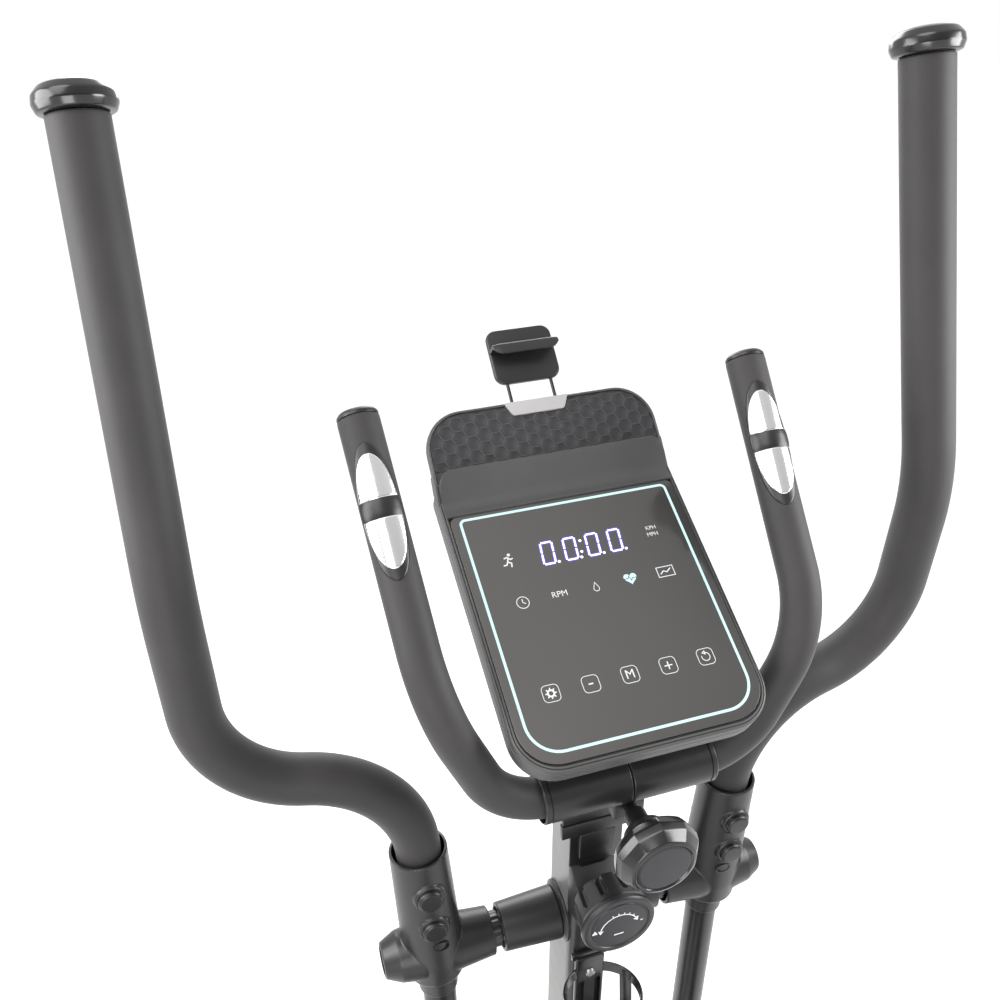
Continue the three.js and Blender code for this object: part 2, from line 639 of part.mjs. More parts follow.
function clampCover() {
  const centre = [BAR_POINTS[0][1], BAR_POINTS[0][2]];
  const shell = cut(bar('x', COVER_R, 0.4, COVER_END, centre, 20),
    bar('x', COVER_BORE, 0, COVER_END + 1, centre, 16));
  const slot = box(-12.6, 12.6, LUG_FRONT - 4, -20, 150, barCentre.z + 0.5).rotateX(MAST_LEAN);
  return cut(shell, slot);
}

// Contact plates lie in an oval round the middle of the bar's straight top, on the palm side.
const SENSOR = { middle: -65.3, halfLength: 45.2, halfWidth: 13.7, rise: 2.6 };
const SENSOR_TURN = { left: rad(18), right: rad(-6) }; // about the bar, towards the thumb
const PALM = new THREE.Vector3(-0.12, -0.8, 0.59);

function pulseSensor(side) {
  const along = barSpan.clone().normalize();
  const face = PALM.clone().addScaledVector(along, -PALM.dot(along)).normalize();
  const frame = new THREE.Matrix4().makeBasis(face, along.clone().cross(face), along)
    .setPosition(barEnd.at);
  const section = new THREE.Shape(ring(BAR_FOAM_R + SENSOR.rise, 20));
  section.holes.push(new THREE.Path(ring(BAR_FOAM_R + GAP, 16).reverse()));
  const reach = SENSOR.halfLength + 2;
  const sleeve = prism(section, SENSOR.middle - reach, SENSOR.middle + reach);
  const oval = bar('x', 1, 0, 30, [0, 0], 24)
    .scale(1, SENSOR.halfWidth, SENSOR.halfLength).translate(0, 0, SENSOR.middle);
  return common(sleeve, oval).rotateZ(SENSOR_TURN[side]).applyMatrix4(frame);
}

function pulsePlug() {
  const turn = new THREE.Quaternion().setFromUnitVectors(new THREE.Vector3(0, 0, 1), barEnd.along);
  const start = barEnd.at.clone().addScaledVector(barEnd.along, GAP);
  return turned('z', [[0, 0], [14, 0], [12.5, 3.5], [0, 5.5]], 14)
    .applyQuaternion(turn).translate(start.x, start.y, start.z);
}

part('handlebar_clamp', handlebarClamp(), PAINT, mastFrame);
part('pulse_bar_tube', tube(barPath, BAR_R, 9, 8, 6), PAINT, upper);
for (const side of SIDES) {
  const foamPath = halfBar.after((p) => p.x > COVER_END - COVER_LAP);
  part(`clamp_cover_${side}`, sided(side, clampCover()), PLASTIC, upper);
  part(`pulse_foam_${side}`, sided(side, tube(foamPath, BAR_FOAM_R, BAR_R + GAP, 12, 8)), FOAM, upper);
  part(`pulse_sensor_${side}`, sided(side, pulseSensor(side)), CHROME, upper);
  part(`pulse_plug_${side}`, sided(side, pulsePlug()), PLASTIC, upper);
}

// ---- Knobs, tension mount and bottle cage on the front of the mast ----
function lobedKnob() {
  const points = [];
  const count = 32;
  for (let i = 0; i < count; i += 1) {
    const angle = (2 * Math.PI * i) / count;
    const r = 28.6 + 1.4 * Math.cos(8 * angle);
    points.push([r * Math.cos(angle), r * Math.sin(angle)]);
  }
  const [face, rear] = [-140.3, -113];
  const head = prism(outline(points), 0, rear - face - 6);
  const bevel = turned('z', [[0, 0], [30, 0], [16, 12], [0, 12]], 16)
    .translate(0, 0, rear - face - 6.01);
  const turnedHead = join(head, bevel).rotateX(-Math.PI / 2).translate(0, face, CLAMP_AXIS_Z);
  return join(turnedHead, bar('y', 15, rear - 6, rear + 8, [0, CLAMP_AXIS_Z], 16),
    bar('y', 8, rear + 7, LUG_FRONT - 4.6, [0, CLAMP_AXIS_Z], 14),
    bar('y', 4.6, -115, barCentre.y + 18, [0, CLAMP_AXIS_Z], 12));
}

const GROOVES = 8;
const TENSION = { face: -83.4, z: 78.5, r: 30, depth: 29.9 };

function tensionKnob() {
  const { r, depth } = TENSION;
  const profile = [[0, 0], [r, 0], [r - 0.2, 5], [r - 4.5, depth], [0, depth]];
  const head = turned('y', profile, 20).translate(0, TENSION.face, TENSION.z);
  const grooves = [];
  for (let i = 0; i < GROOVES; i += 1) {
    grooves.push(box(-2, 2, 0.4 * depth, depth + 1, r - 5.5, r + 1).rotateY((2 * Math.PI * i) / GROOVES)
      .translate(0, TENSION.face, TENSION.z));
  }
  return join(cut(head, ...grooves), bar('y', 4.6, -55, -35, [0, TENSION.z], 12));
}

function tensionMount() {
  const side = outline([
    [-24, 36], [-24, 91], [-27, 91], [-40, 79.5], [-52, 79.5], [-52, 42], [-33, 36],
  ].reverse());
  return cut(sidePrism(side, -18.5, 18.5), prism(mastOutline(GAP), 0, 120),
    bar('y', 5, -60, -30, [0, TENSION.z], 12));
}

const CAGE = { y: -63, z: -34.6, inner: 30.6, outer: 33.4, depth: 150 };

function bottleCage() {
  const hoop = (z0, z1) => {
    const band = new THREE.Shape(ring(CAGE.outer, 18));
    band.holes.push(new THREE.Path(ring(CAGE.inner, 18).reverse()));
    return prism(band, z0, z1);
  };
  const front = MAST_CENTRE - MAST_D / 2 - GAP;
  const parts = [hoop(-9, 0), hoop(-90, -82), hoop(-CAGE.depth, -CAGE.depth + 8)];
  for (const angle of [60, 180, 300]) {
    parts.push(box(-5, 5, CAGE.inner + 0.2, CAGE.outer - 0.2, -CAGE.depth + 1, -1).rotateZ(rad(angle)));
  }
  parts.push(box(-CAGE.inner - 1, CAGE.inner + 1, -5, 5, -CAGE.depth + 1, -CAGE.depth + 4));
  parts.push(box(-5, 5, -CAGE.inner - 1, CAGE.inner + 1, -CAGE.depth + 1, -CAGE.depth + 4));
  const cage = join(...parts).rotateX(-MAST_LEAN).translate(0, CAGE.y, CAGE.z);
  const plate = box(-12, 12, front - 6, front, CAGE.z - CAGE.depth - 8, CAGE.z + 8);
  const bottomLink = box(-8, 8, CAGE.y + CAGE.outer - 26, front - 3, CAGE.z - CAGE.depth - 6,
    CAGE.z - CAGE.depth + 2);
  return cut(join(cage, plate, bottomLink), prism(mastOutline(GAP), -300, 100));
}

part('clamp_knob', lobedKnob(), GLOSS, mastFrame);
part('tension_knob', tensionKnob(), PLASTIC, mastFrame);
part('tension_mount', tensionMount(), PLASTIC, mastFrame);
part('bottle_cage', bottleCage(), GLOSS, mastFrame);

// ---- Console ----
const GLASS_HALF = 85;
const BODY_HALF = 89;
const BODY_LOW = -100;
const BODY_HIGH = 118;
const LEDGE_LOW = 91.5;
const LEDGE_HALF = 86.5;

function bodyOutline(inset) {
  const width = 2 * (BODY_HALF - inset);
  const height = BODY_HIGH - BODY_LOW - 2 * inset;
  return roundRect(width, height, 5, 30 - inset, 0, (BODY_LOW + BODY_HIGH) / 2);
}

// Holes for the phone clamp's rods, in the tablet rest's frame.
const ROD = { x: 17, r: 1.25, depth: -5, low: REST_H - 62, high: REST_H + 15.8 };
const toConsole = (geometry) => geometry.rotateX(REST_TILT).translate(...REST_AT);
const rodHole = (sign) => toConsole(bar('y', 2.1, -60, 60, [sign * ROD.x, ROD.depth], 6));

function backShell() {
  return cut(prism(bodyOutline(0), -25, -8, 3), prism(bodyOutline(3), -22, 0, 3),
    toConsole(box(-20, 20, -50, 20, -12, 0)));
}

function frontFrame() {
  const plate = prism(bodyOutline(0), -8 + GAP, 0, 3);
  const glassSeat = prism(roundRect(2 * GLASS_HALF + 3 * GAP, LEDGE_LOW + 95 + GAP, 6, 26,
    0, (LEDGE_LOW - 95) / 2), -3 - GAP, 5, 3);
  const window = prism(roundRect(150, 160, 6, 20, 0, 0), -20, 5, 2);
  const ledge = sidePrism(outline([
    [LEDGE_LOW + GAP, -2], [LEDGE_LOW + GAP, 1.5], [95, 0.4], [103, 0.6], [120, 14], [122.5, 14],
    [124, 6], [124, -2],
  ].reverse()), -LEDGE_HALF, LEDGE_HALF);
  const rest = prism(roundRect(REST_W, REST_H + 8, 29, 4, 0, (REST_H - 8) / 2), -10, -2 - GAP, 3);
  const rim = cut(prism(roundRect(REST_W, REST_H + 8, 29, 4, 0, (REST_H - 8) / 2), -6, 0, 3),
    prism(roundRect(REST_W - 4, REST_H + 8, 27, 4, 0, (REST_H - 12) / 2), -7, 1, 3));
  const dockSeat = box(-26, 26, REST_H - 11, REST_H + 1, -3.5, 1);
  return cut(join(plate, ledge, toConsole(join(rest, rim))), glassSeat, window,
    toConsole(dockSeat), rodHole(-1), rodHole(1));
}

function consoleGlass() {
  return prism(roundRect(2 * GLASS_HALF, LEDGE_LOW + 95 - GAP, 6, 26, 0, (LEDGE_LOW - 95) / 2 - GAP),
    -3, 0, 3);
}

function tabletPad() {
  const pad = prism(roundRect(REST_W - 5, REST_H - 6.3, 26.5, 2, 0, (REST_H + 1.7) / 2), -2, 0, 3);
  return cut(pad, box(-26.3, 26.3, REST_H - 11.3, REST_H + 1, -3, 1));
}

function dockInsert() {
  const face = outline([[-20, REST_H - 10.5], [20, REST_H - 10.5], [25, REST_H], [-25, REST_H]]);
  return cut(prism(face, -3, 0.6), box(-2, 2, REST_H - 1, REST_H + 1, -4, 2));
}

part('console_back_shell', backShell(), PLASTIC, consoleFrame);
part('console_front_frame', frontFrame(), PLASTIC, consoleFrame);
part('console_glass', consoleGlass(), GLASS, consoleFrame);
part('tablet_pad', tabletPad(), RUBBER, restFrame);
part('dock_insert', dockInsert(), GREY, restFrame);

// ---- Sliding phone clamp ----
const CLAMP = { low: ROD.high, width: 51, height: 43, front: -2.5, thick: 5 };

function phoneClamp() {
  const mid = CLAMP.low + CLAMP.height / 2;
  const plate = prism(roundRect(CLAMP.width, CLAMP.height, 8, 8, 0, mid),
    CLAMP.front - CLAMP.thick, CLAMP.front);
  const shelf = CLAMP.low + 27;
  const flange = box(-25, 25, shelf - 2.5, shelf, CLAMP.front - 1, CLAMP.front + 14);
  const lip = box(-25, 25, shelf - 9, shelf, CLAMP.front + 11.5, CLAMP.front + 14);
  const slots = [-1, 1].map((sign) => box(sign * ROD.x - 1.6, sign * ROD.x + 1.6, CLAMP.low - 1,
    CLAMP.low + 14.6, CLAMP.front - 6, CLAMP.front - 1));
  const groove = box(-ROD.x, ROD.x, CLAMP.low + 11, CLAMP.low + 14.6, CLAMP.front - 6, CLAMP.front - 1);
  return cut(join(plate, flange, lip), ...slots, groove);
}

function clampRods() {
  const top = CLAMP.low + 14;
  const rods = [-1, 1].map((sign) => bar('y', ROD.r, ROD.low, top, [sign * ROD.x, ROD.depth], 6));
  return join(...rods, box(-ROD.x, ROD.x, top - 2.4, top - 0.1, ROD.depth - 1.1, ROD.depth + 1.1));
}

part('phone_clamp', phoneClamp(), PLASTIC, restFrame);
part('clamp_rods', clampRods(), STEEL, restFrame);

export default model;
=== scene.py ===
"""Looks of the elliptical trainer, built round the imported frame. Shapes are in local millimetres."""
import json
import math

import bmesh
import bpy
from mathutils import Matrix, Vector


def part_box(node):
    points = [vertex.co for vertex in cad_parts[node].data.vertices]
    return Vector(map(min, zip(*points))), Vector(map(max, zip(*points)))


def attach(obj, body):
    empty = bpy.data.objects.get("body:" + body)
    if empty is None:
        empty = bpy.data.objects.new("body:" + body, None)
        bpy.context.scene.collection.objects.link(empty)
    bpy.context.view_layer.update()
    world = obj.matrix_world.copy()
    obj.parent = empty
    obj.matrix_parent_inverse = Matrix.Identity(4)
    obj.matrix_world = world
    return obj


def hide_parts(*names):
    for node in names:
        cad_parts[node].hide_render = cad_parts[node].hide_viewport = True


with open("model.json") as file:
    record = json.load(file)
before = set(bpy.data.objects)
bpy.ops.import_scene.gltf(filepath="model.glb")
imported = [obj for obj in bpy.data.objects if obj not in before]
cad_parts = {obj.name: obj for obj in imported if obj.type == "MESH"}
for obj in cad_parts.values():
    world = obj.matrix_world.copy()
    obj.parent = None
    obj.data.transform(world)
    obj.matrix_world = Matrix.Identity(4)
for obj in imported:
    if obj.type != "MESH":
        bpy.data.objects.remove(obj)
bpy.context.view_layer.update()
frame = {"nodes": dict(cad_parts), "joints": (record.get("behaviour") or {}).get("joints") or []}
JOINT = {j["name"]: j for j in frame["joints"]}
SIDES = ("left", "right")
MM = 0.001
TAU = 2 * math.pi

# ---- frames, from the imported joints
AXLE = Vector((0, *JOINT["left_arm_swing"]["pos_m"][1:]))
ARM_X = JOINT["right_arm_swing"]["pos_m"][0] / MM
BEAM_X = JOINT["right_beam_tilt"]["pos_m"][0] / MM
KNOB_AXIS = Vector(JOINT["clamp_knob_turn"]["axis"])
MAST_LEAN = math.atan2(-KNOB_AXIS.z, -KNOB_AXIS.y)
REST_TILT = math.radians(17.1)
SLIDE_AXIS = Vector(JOINT["phone_clamp_slide"]["axis"])
GLASS_TILT = math.atan2(SLIDE_AXIS.z, SLIDE_AXIS.y) - REST_TILT


def shift(x, y, z):
    return Matrix.Translation((x * MM, y * MM, z * MM))


def turn(angle, axis="X"):
    return Matrix.Rotation(angle, 4, axis)


TO_USER = turn(math.pi, "Z")
UPWARD = turn(math.pi / 2)  # stands a shape drawn in the XY plane up
UPPER = Matrix.Translation(AXLE)
MAST = UPPER @ turn(MAST_LEAN)
CONSOLE_AT = (0, -71.9, 330.8)  # middle of the glass, from the axle
REST_AT = (0, 122, 7)  # foot of the tablet rest, from the middle of the glass
CAGE_AT = (0, -63, -34.6)  # middle of the cage's top hoop, on the mast
CONSOLE = UPPER @ shift(*CONSOLE_AT) @ turn(GLASS_TILT)
REST = CONSOLE @ shift(*REST_AT) @ turn(REST_TILT)


def arm_frame(side):
    pivot = Vector(JOINT[f"{side}_beam_tilt"]["pos_m"]) - AXLE
    return UPPER @ turn(math.atan2(pivot.y, -pivot.z))


CRANK_AT = Vector(JOINT["crank_spin"]["pos_m"])
_, CRANK_Y, CRANK_Z = CRANK_AT / MM
_, FLY_Y, FLY_Z = Vector(JOINT["flywheel_spin"]["pos_m"]) / MM


def node_centre(node):
    low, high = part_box(node)
    return (low + high) / 2


def beam_frame(side):
    pivot = Vector(JOINT[f"{side}_beam_tilt"]["pos_m"])
    pin = node_centre(f"crank_pin_{side}")
    angle = -math.atan2(pin.z - pivot.z, pivot.y - pin.y)
    return Matrix.Translation((0, pivot.y, pivot.z)) @ turn(angle)


# ---- mesh helpers
def mesh_object(name, verts, faces, matrix=Matrix(), mirror=False):
    mesh = bpy.data.meshes.new(name)
    mesh.from_pydata([tuple(v) for v in verts], [], [tuple(f) for f in faces])
    obj = bpy.data.objects.new(name, mesh)
    bpy.context.scene.collection.objects.link(obj)
    flip = Matrix.Diagonal((-1 if mirror else 1, 1, 1, 1))
    mesh.transform(matrix @ Matrix.Scale(MM, 4) @ flip)
    clean(obj)
    return obj


def clean(obj):
    bm = bmesh.new()
    bm.from_mesh(obj.data)
    bmesh.ops.remove_doubles(bm, verts=bm.verts, dist=2e-6)
    bmesh.ops.dissolve_degenerate(bm, edges=bm.edges, dist=1e-6)
    bmesh.ops.recalc_face_normals(bm, faces=bm.faces)
    bm.to_mesh(obj.data)
    bm.free()


def skin(rings, loop=False, caps=True):
    """Faces over rings with equal point counts."""
    n = len(rings[0])
    verts = [p for ring in rings for p in ring]
    faces = []
    count = len(rings)
    for i in range(count if loop else count - 1):
        a, b = i * n, ((i + 1) % count) * n
        for k in range(n):
            faces.append((a + k, a + (k + 1) % n, b + (k + 1) % n, b + k))
    if caps and not loop:
        faces.append(tuple(reversed(range(n))))
        faces.append(tuple(range((count - 1) * n, count * n)))
    return verts, faces


def soften(points, steps=4):
    """2-D polyline of (a, b) or (a, b, radius) points with its corners rounded."""
    out = []
    for i, point in enumerate(points):
        at = Vector(point[:2])
        if len(point) < 3 or i in (0, len(points) - 1):
            out.append(tuple(at))
            continue
        before = Vector(points[i - 1][:2]) - at
        after = Vector(points[i + 1][:2]) - at
        angle = before.angle(after)
        reach = point[2] / math.tan(angle / 2)
        reach = min(reach, 0.48 * before.length, 0.48 * after.length)
        start, end = at + before.normalized() * reach, at + after.normalized() * reach
        for k in range(steps + 1):
            t = k / steps
            out.append(tuple((1 - t) ** 2 * start + 2 * t * (1 - t) * at + t * t * end))
    return out


def closed_outline(points, steps=4):
    """Closed 2-D outline with rounded corners, from (a, b, radius) points, as a function of its inset."""
    looped = [points[-1], *points, points[0]]
    flat = []
    for k in range(1, len(looped) - 1):
        before, at, after = looped[k - 1], looped[k], looped[k + 1]
        flat += soften([before[:2], at, after[:2]], steps)[1:-1]
    centre = sum((Vector(p) for p in flat), Vector((0, 0))) / len(flat)

    def outline(inset=0):
        return [tuple(Vector(p) + (centre - Vector(p)).normalized() * inset) for p in flat]
    return outline


def lathe(profile, axis="z", segments=64, wave=None, closed=False):
    """Turned piece from (radius, height[, corner radius]) points; wave(angle, height) scales the radius."""
    rings = []
    for r, h in soften(profile):
        ring = []
        for k in range(segments):
            a = TAU * k / segments
            s = r * (wave(a, h) if wave else 1)
            x, y = s * math.cos(a), s * math.sin(a)
            ring.append({"z": (x, y, h), "x": (h, x, y), "y": (y, h, x)}[axis])
        rings.append(ring)
    return skin(rings, loop=closed, caps=not closed)


def symmetric(half, closed=False):
    """Lathe profile mirrored about height 0, from its points below that."""
    profile = half + [(r, -h, *corner) for r, h, *corner in reversed(half)]
    return profile + half[:1] if closed else profile


def moved(shape, x=0, y=0, z=0, turned=None):
    verts, faces = shape
    m = Matrix.Translation((x, y, z)) @ (turned or Matrix())
    return [m @ Vector(v) for v in verts], faces


def joined(*shapes):
    verts, faces = [], []
    for v, f in shapes:
        base = len(verts)
        verts += list(v)
        faces += [tuple(i + base for i in face) for face in f]
    return verts, faces


def polar(radius, angle, cx=0, cy=0):
    return cx + radius * math.cos(angle), cy + radius * math.sin(angle)


def round_rect(width, height, top, bottom=None, cx=0, cy=0, steps=8):
    """Outline as a function of its inset."""
    bottom = top if bottom is None else bottom

    def outline(inset=0):
        points = []
        corners = ((1, -1, bottom, -90), (1, 1, top, 0), (-1, 1, top, 90), (-1, -1, bottom, 180))
        for sx, sy, radius, start in corners:
            r = max(radius - inset, 0.2)
            x = cx + sx * (width / 2 - inset - r)
            y = cy + sy * (height / 2 - inset - r)
            points += [polar(r, math.radians(start + 90 * k / steps), x, y) for k in range(steps + 1)]
        return points
    return outline


def stack(outline, levels, plane="xy", loop=False):
    """Skin over an outline at (inset, height) levels; plane says where the outline lies."""
    place = {"xy": lambda a, b, h: (a, b, h),
            "yz": lambda a, b, h: (h, a, b),
            "xz": lambda a, b, h: (a, h, b)}[plane]
    return skin([[place(a, b, h) for a, b in outline(inset)] for inset, h in levels], loop=loop)


def quarter(steps):
    """(1 - sin, 1 - cos) over a quarter turn, for round edges."""
    angles = [math.pi / 2 * k / steps for k in range(steps + 1)]
    return [(1 - math.sin(a), 1 - math.cos(a)) for a in angles]


def slab(outline, low, high, edge=1.0, under=None, plane="xy"):
    """Plate with round edges."""
    under = edge if under is None else under
    levels = [(under * s, low + under * c) for s, c in quarter(3)]
    levels += [(edge * c, high - edge * s) for s, c in quarter(3)]
    return stack(outline, levels, plane)


def block(x0, x1, y0, y1, z0, z1, edge=1.0):
    """Box with round edges."""
    outline = round_rect(x1 - x0, y1 - y0, edge, edge, (x0 + x1) / 2, (y0 + y1) / 2, 3)
    return slab(outline, z0, z1, edge)


def ribbon(points, width, z0=0.0, z1=0.08, closed=False):
    """Flat stroke along a polyline in the XY plane, with mitred corners."""
    pts = [Vector(p) for p in points]
    n = len(pts)
    rings = []
    for i, p in enumerate(pts):
        before = [pts[i - 1]] if i or closed else []
        after = [pts[(i + 1) % n]] if i < n - 1 or closed else []
        near = before + [p] + after
        d = [(b - a).normalized() for a, b in zip(near, near[1:])]
        along = (d[0] + d[-1]).normalized() if (d[0] + d[-1]).length > 1e-6 else d[0]
        scale = 1 / max(0.5, along.dot(d[0]))
        side = Vector((-along.y, along.x)) * width / 2 * scale
        a, b = p + side, p - side
        rings.append([(a.x, a.y, z0), (b.x, b.y, z0), (b.x, b.y, z1), (a.x, a.y, z1)])
    return skin(rings, loop=closed)


def disc(radius, z0=0.0, z1=0.08, cx=0, cy=0, steps=20):
    return moved(lathe([(0, z0), (radius, z0), (radius, z1), (0, z1)], segments=steps), cx, cy)


def arc_points(radius, start, end, steps=16, cx=0, cy=0):
    angles = [math.radians(start + (end - start) * k / steps) for k in range(steps + 1)]
    return [polar(radius, a, cx, cy) for a in angles]


class Path:
    """Polyline with round corners, sampled evenly, with frames carried along it."""

    def __init__(self, corners, radii, step=4.0):
        pts = [Vector(c) for c in corners]
        raw = [pts[0]]
        for i, radius in enumerate(radii, 1):
            into = (pts[i] - pts[i - 1]).normalized()
            out = (pts[i + 1] - pts[i]).normalized()
            bend = into.angle(out)
            start = pts[i] - into * radius * math.tan(bend / 2)
            side = (out - into * out.dot(into)).normalized()
            for k in range(25):
                a = bend * k / 24
                raw.append(start + into * radius * math.sin(a) + side * radius * (1 - math.cos(a)))
        raw.append(pts[-1])
        lengths = [0]
        for a, b in zip(raw, raw[1:]):
            lengths.append(lengths[-1] + (b - a).length)
        count = max(2, round(lengths[-1] / step))
        self.length = lengths[-1]
        self.at = []
        j = 0
        for k in range(count + 1):
            d = self.length * k / count
            while j < len(raw) - 2 and lengths[j + 1] < d:
                j += 1
            span = lengths[j + 1] - lengths[j]
            self.at.append(raw[j].lerp(raw[j + 1], (d - lengths[j]) / span if span else 0))
        self.frames()

    def frames(self):
        n = len(self.at)
        self.along = [(self.at[min(i + 1, n - 1)] - self.at[max(i - 1, 0)]).normalized() for i in range(n)]
        side = Vector((0, 1, 0))
        self.side = []
        for t in self.along:
            side = (side - t * side.dot(t)).normalized()
            self.side.append(side.copy())

    def part(self, keep):
        """The stretch whose points pass keep(point)."""
        out = Path.__new__(Path)
        out.at = [p for p in self.at if keep(p)]
        out.length = sum((b - a).length for a, b in zip(out.at, out.at[1:]))
        out.frames()
        return out


def tube(path, radius, segments=56, end=2.0):
    """Tube over a path; radius may be a function of the distance; ends are rounded over end."""
    rings = []
    count = len(path.at)
    size = radius if callable(radius) else (lambda d: radius)

    def ring(i, r, offset=0.0):
        t, s = path.along[i], path.side[i]
        b = t.cross(s)
        c = path.at[i] + t * offset
        return [c + (s * math.cos(TAU * k / segments) + b * math.sin(TAU * k / segments)) * r
                for k in range(segments)]
    rings += [ring(0, size(0) - end * s, end * c) for s, c in quarter(4)]
    d = 0.0
    for i in range(1, count - 1):
        d += (path.at[i] - path.at[i - 1]).length
        if end < d < path.length - end:
            rings.append(ring(i, size(d)))
    rings += [ring(count - 1, size(path.length) - end * c, -end * s) for s, c in quarter(4)]
    return skin(rings)


def apply_modifiers(obj):
    depsgraph = bpy.context.evaluated_depsgraph_get()
    mesh = bpy.data.meshes.new_from_object(obj.evaluated_get(depsgraph))
    obj.modifiers.clear()
    obj.data = mesh


def carve(obj, *shapes, matrix=Matrix(), mirror=False):
    """Cuts shapes out of an object."""
    tools = [mesh_object("tool", *shape, matrix, mirror) for shape in shapes]
    for tool in tools:
        mod = obj.modifiers.new("cut", "BOOLEAN")
        mod.operation = "DIFFERENCE"
        mod.solver = "EXACT"
        mod.object = tool
    apply_modifiers(obj)
    for tool in tools:
        bpy.data.objects.remove(tool)


def melt(obj, voxel, rounds):
    """Fuses overlapping shapes into one soft moulded skin."""
    mod = obj.modifiers.new("remesh", "REMESH")
    mod.mode = "VOXEL"
    mod.voxel_size = voxel * MM
    smooth = obj.modifiers.new("smooth", "SMOOTH")
    smooth.factor = 0.5
    smooth.iterations = rounds
    apply_modifiers(obj)


def finish_piece(obj, body, material, replaces=(), angle=35):
    for poly in obj.data.polygons:
        poly.use_smooth = True
    obj.data.set_sharp_from_angle(angle=math.radians(angle))
    obj.data.materials.clear()
    obj.data.materials.append(material)
    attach(obj, body)
    if replaces:
        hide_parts(*([replaces] if isinstance(replaces, str) else replaces))
    return obj


def piece(name, shape, body, material, matrix=UPPER, replaces=(), mirror=False, angle=35, slot=None):
    obj = mesh_object(name, *shape, matrix, mirror)
    return finish_piece(obj, body, material, replaces, angle)


def side_maker(side, body, matrix=UPPER):
    """Function that adds pieces of one side, drawn for the right and mirrored on the left."""
    def add(name, shape, material, *replaces, **settings):
        nodes = [f"{node}_{side}" for node in replaces]
        return piece(f"{name}_{side}", shape, body, material, matrix, nodes, side == "left", **settings)
    return add


# ---- materials
class Nodes:
    """Small wrapper that adds and links shader nodes."""

    def __init__(self, name):
        self.material = bpy.data.materials.new(name)
        self.material.use_nodes = True
        self.tree = self.material.node_tree
        self.bsdf = self.tree.nodes["Principled BSDF"]
        self.coords = self.add("ShaderNodeTexCoord").outputs["Object"]

    def add(self, kind, **settings):
        node = self.tree.nodes.new(kind)
        for key, value in settings.items():
            if key in node.inputs:
                node.inputs[key].default_value = value
            else:
                setattr(node, key, value)
        return node

    def shader(self, **values):
        """Sets inputs of the surface shader; underscores stand for spaces."""
        for key, value in values.items():
            self.bsdf.inputs[key.replace("_", " ")].default_value = value

    def link(self, out, into):
        self.tree.links.new(out, into)

    def noise(self, scale, detail=3.0, rough=0.5):
        node = self.add("ShaderNodeTexNoise", Scale=scale, Detail=detail, Roughness=rough)
        self.link(self.coords, node.inputs["Vector"])
        return node.outputs["Fac"]

    def ramp(self, fac, low, high, start=0.3, end=0.7):
        node = self.add("ShaderNodeValToRGB")
        for stop, place, color in zip(node.color_ramp.elements, (start, end), (low, high)):
            stop.position = place
            stop.color = (*color, 1)
        self.link(fac, node.inputs["Fac"])
        return node.outputs["Color"]

    def span(self, fac, low, high, start=0.0, end=1.0):
        """Maps start..end to low..high."""
        limits = {"From Min": start, "From Max": end, "To Min": low, "To Max": high}
        node = self.add("ShaderNodeMapRange", **limits)
        self.link(fac, node.inputs["Value"])
        return node.outputs["Result"]

    def bump(self, *layers):
        """Layers of (height, strength, distance in metres)."""
        normal = None
        for height, strength, distance in layers:
            node = self.add("ShaderNodeBump", Strength=strength, Distance=distance)
            self.link(height, node.inputs["Height"])
            if normal:
                self.link(normal, node.inputs["Normal"])
            normal = node.outputs["Normal"]
        self.link(normal, self.bsdf.inputs["Normal"])


def shade(c, k):
    return tuple(min(1.0, v * k) for v in c)


def moulded(name, color, rough, grain=1500, depth=0.00005, spread=0.12, specular=0.5, metal=0.0):
    """Plastic, paint or metal with fine grain, faint blotches and uneven gloss."""
    n = Nodes(name)
    n.shader(Metallic=metal, Specular_IOR_Level=specular)
    broad = n.noise(14, 4, 0.6)
    fine = n.noise(grain, 2, 0.6)
    n.link(n.ramp(broad, shade(color, 1 - spread), shade(color, 1 + spread)), n.bsdf.inputs["Base Color"])
    n.link(n.span(n.noise(60, 4, 0.6), rough - 0.05, rough + 0.06), n.bsdf.inputs["Roughness"])
    n.bump((fine, 0.35, depth), (broad, 0.1, 0.0003))
    return n.material


def foam_material(name, color):
    """Closed-cell foam: pores, faint skin creases and a soft sheen."""
    n = Nodes(name)
    n.shader(Roughness=0.62, Specular_IOR_Level=0.45, Sheen_Weight=0.12, Sheen_Roughness=0.4)
    cells = n.add("ShaderNodeTexVoronoi", Scale=900.0)
    n.link(n.coords, cells.inputs["Vector"])
    pores = n.span(cells.outputs["Distance"], 0, 1, 0, 0.35)
    creases = n.noise(160, 5, 0.65)
    broad = n.noise(18, 3, 0.5)
    n.link(n.ramp(broad, shade(color, 0.86), shade(color, 1.14)), n.bsdf.inputs["Base Color"])
    n.bump((pores, 0.25, 0.00018), (creases, 0.22, 0.0006), (broad, 0.2, 0.001))
    return n.material


def glow_material(name, color, strength):
    n = Nodes(name)
    n.shader(Emission_Strength=strength, Base_Color=(*shade(color, 0.3), 1), Roughness=0.4)
    n.link(n.ramp(n.noise(30), shade(color, 0.94), color), n.bsdf.inputs["Emission Color"])
    return n.material


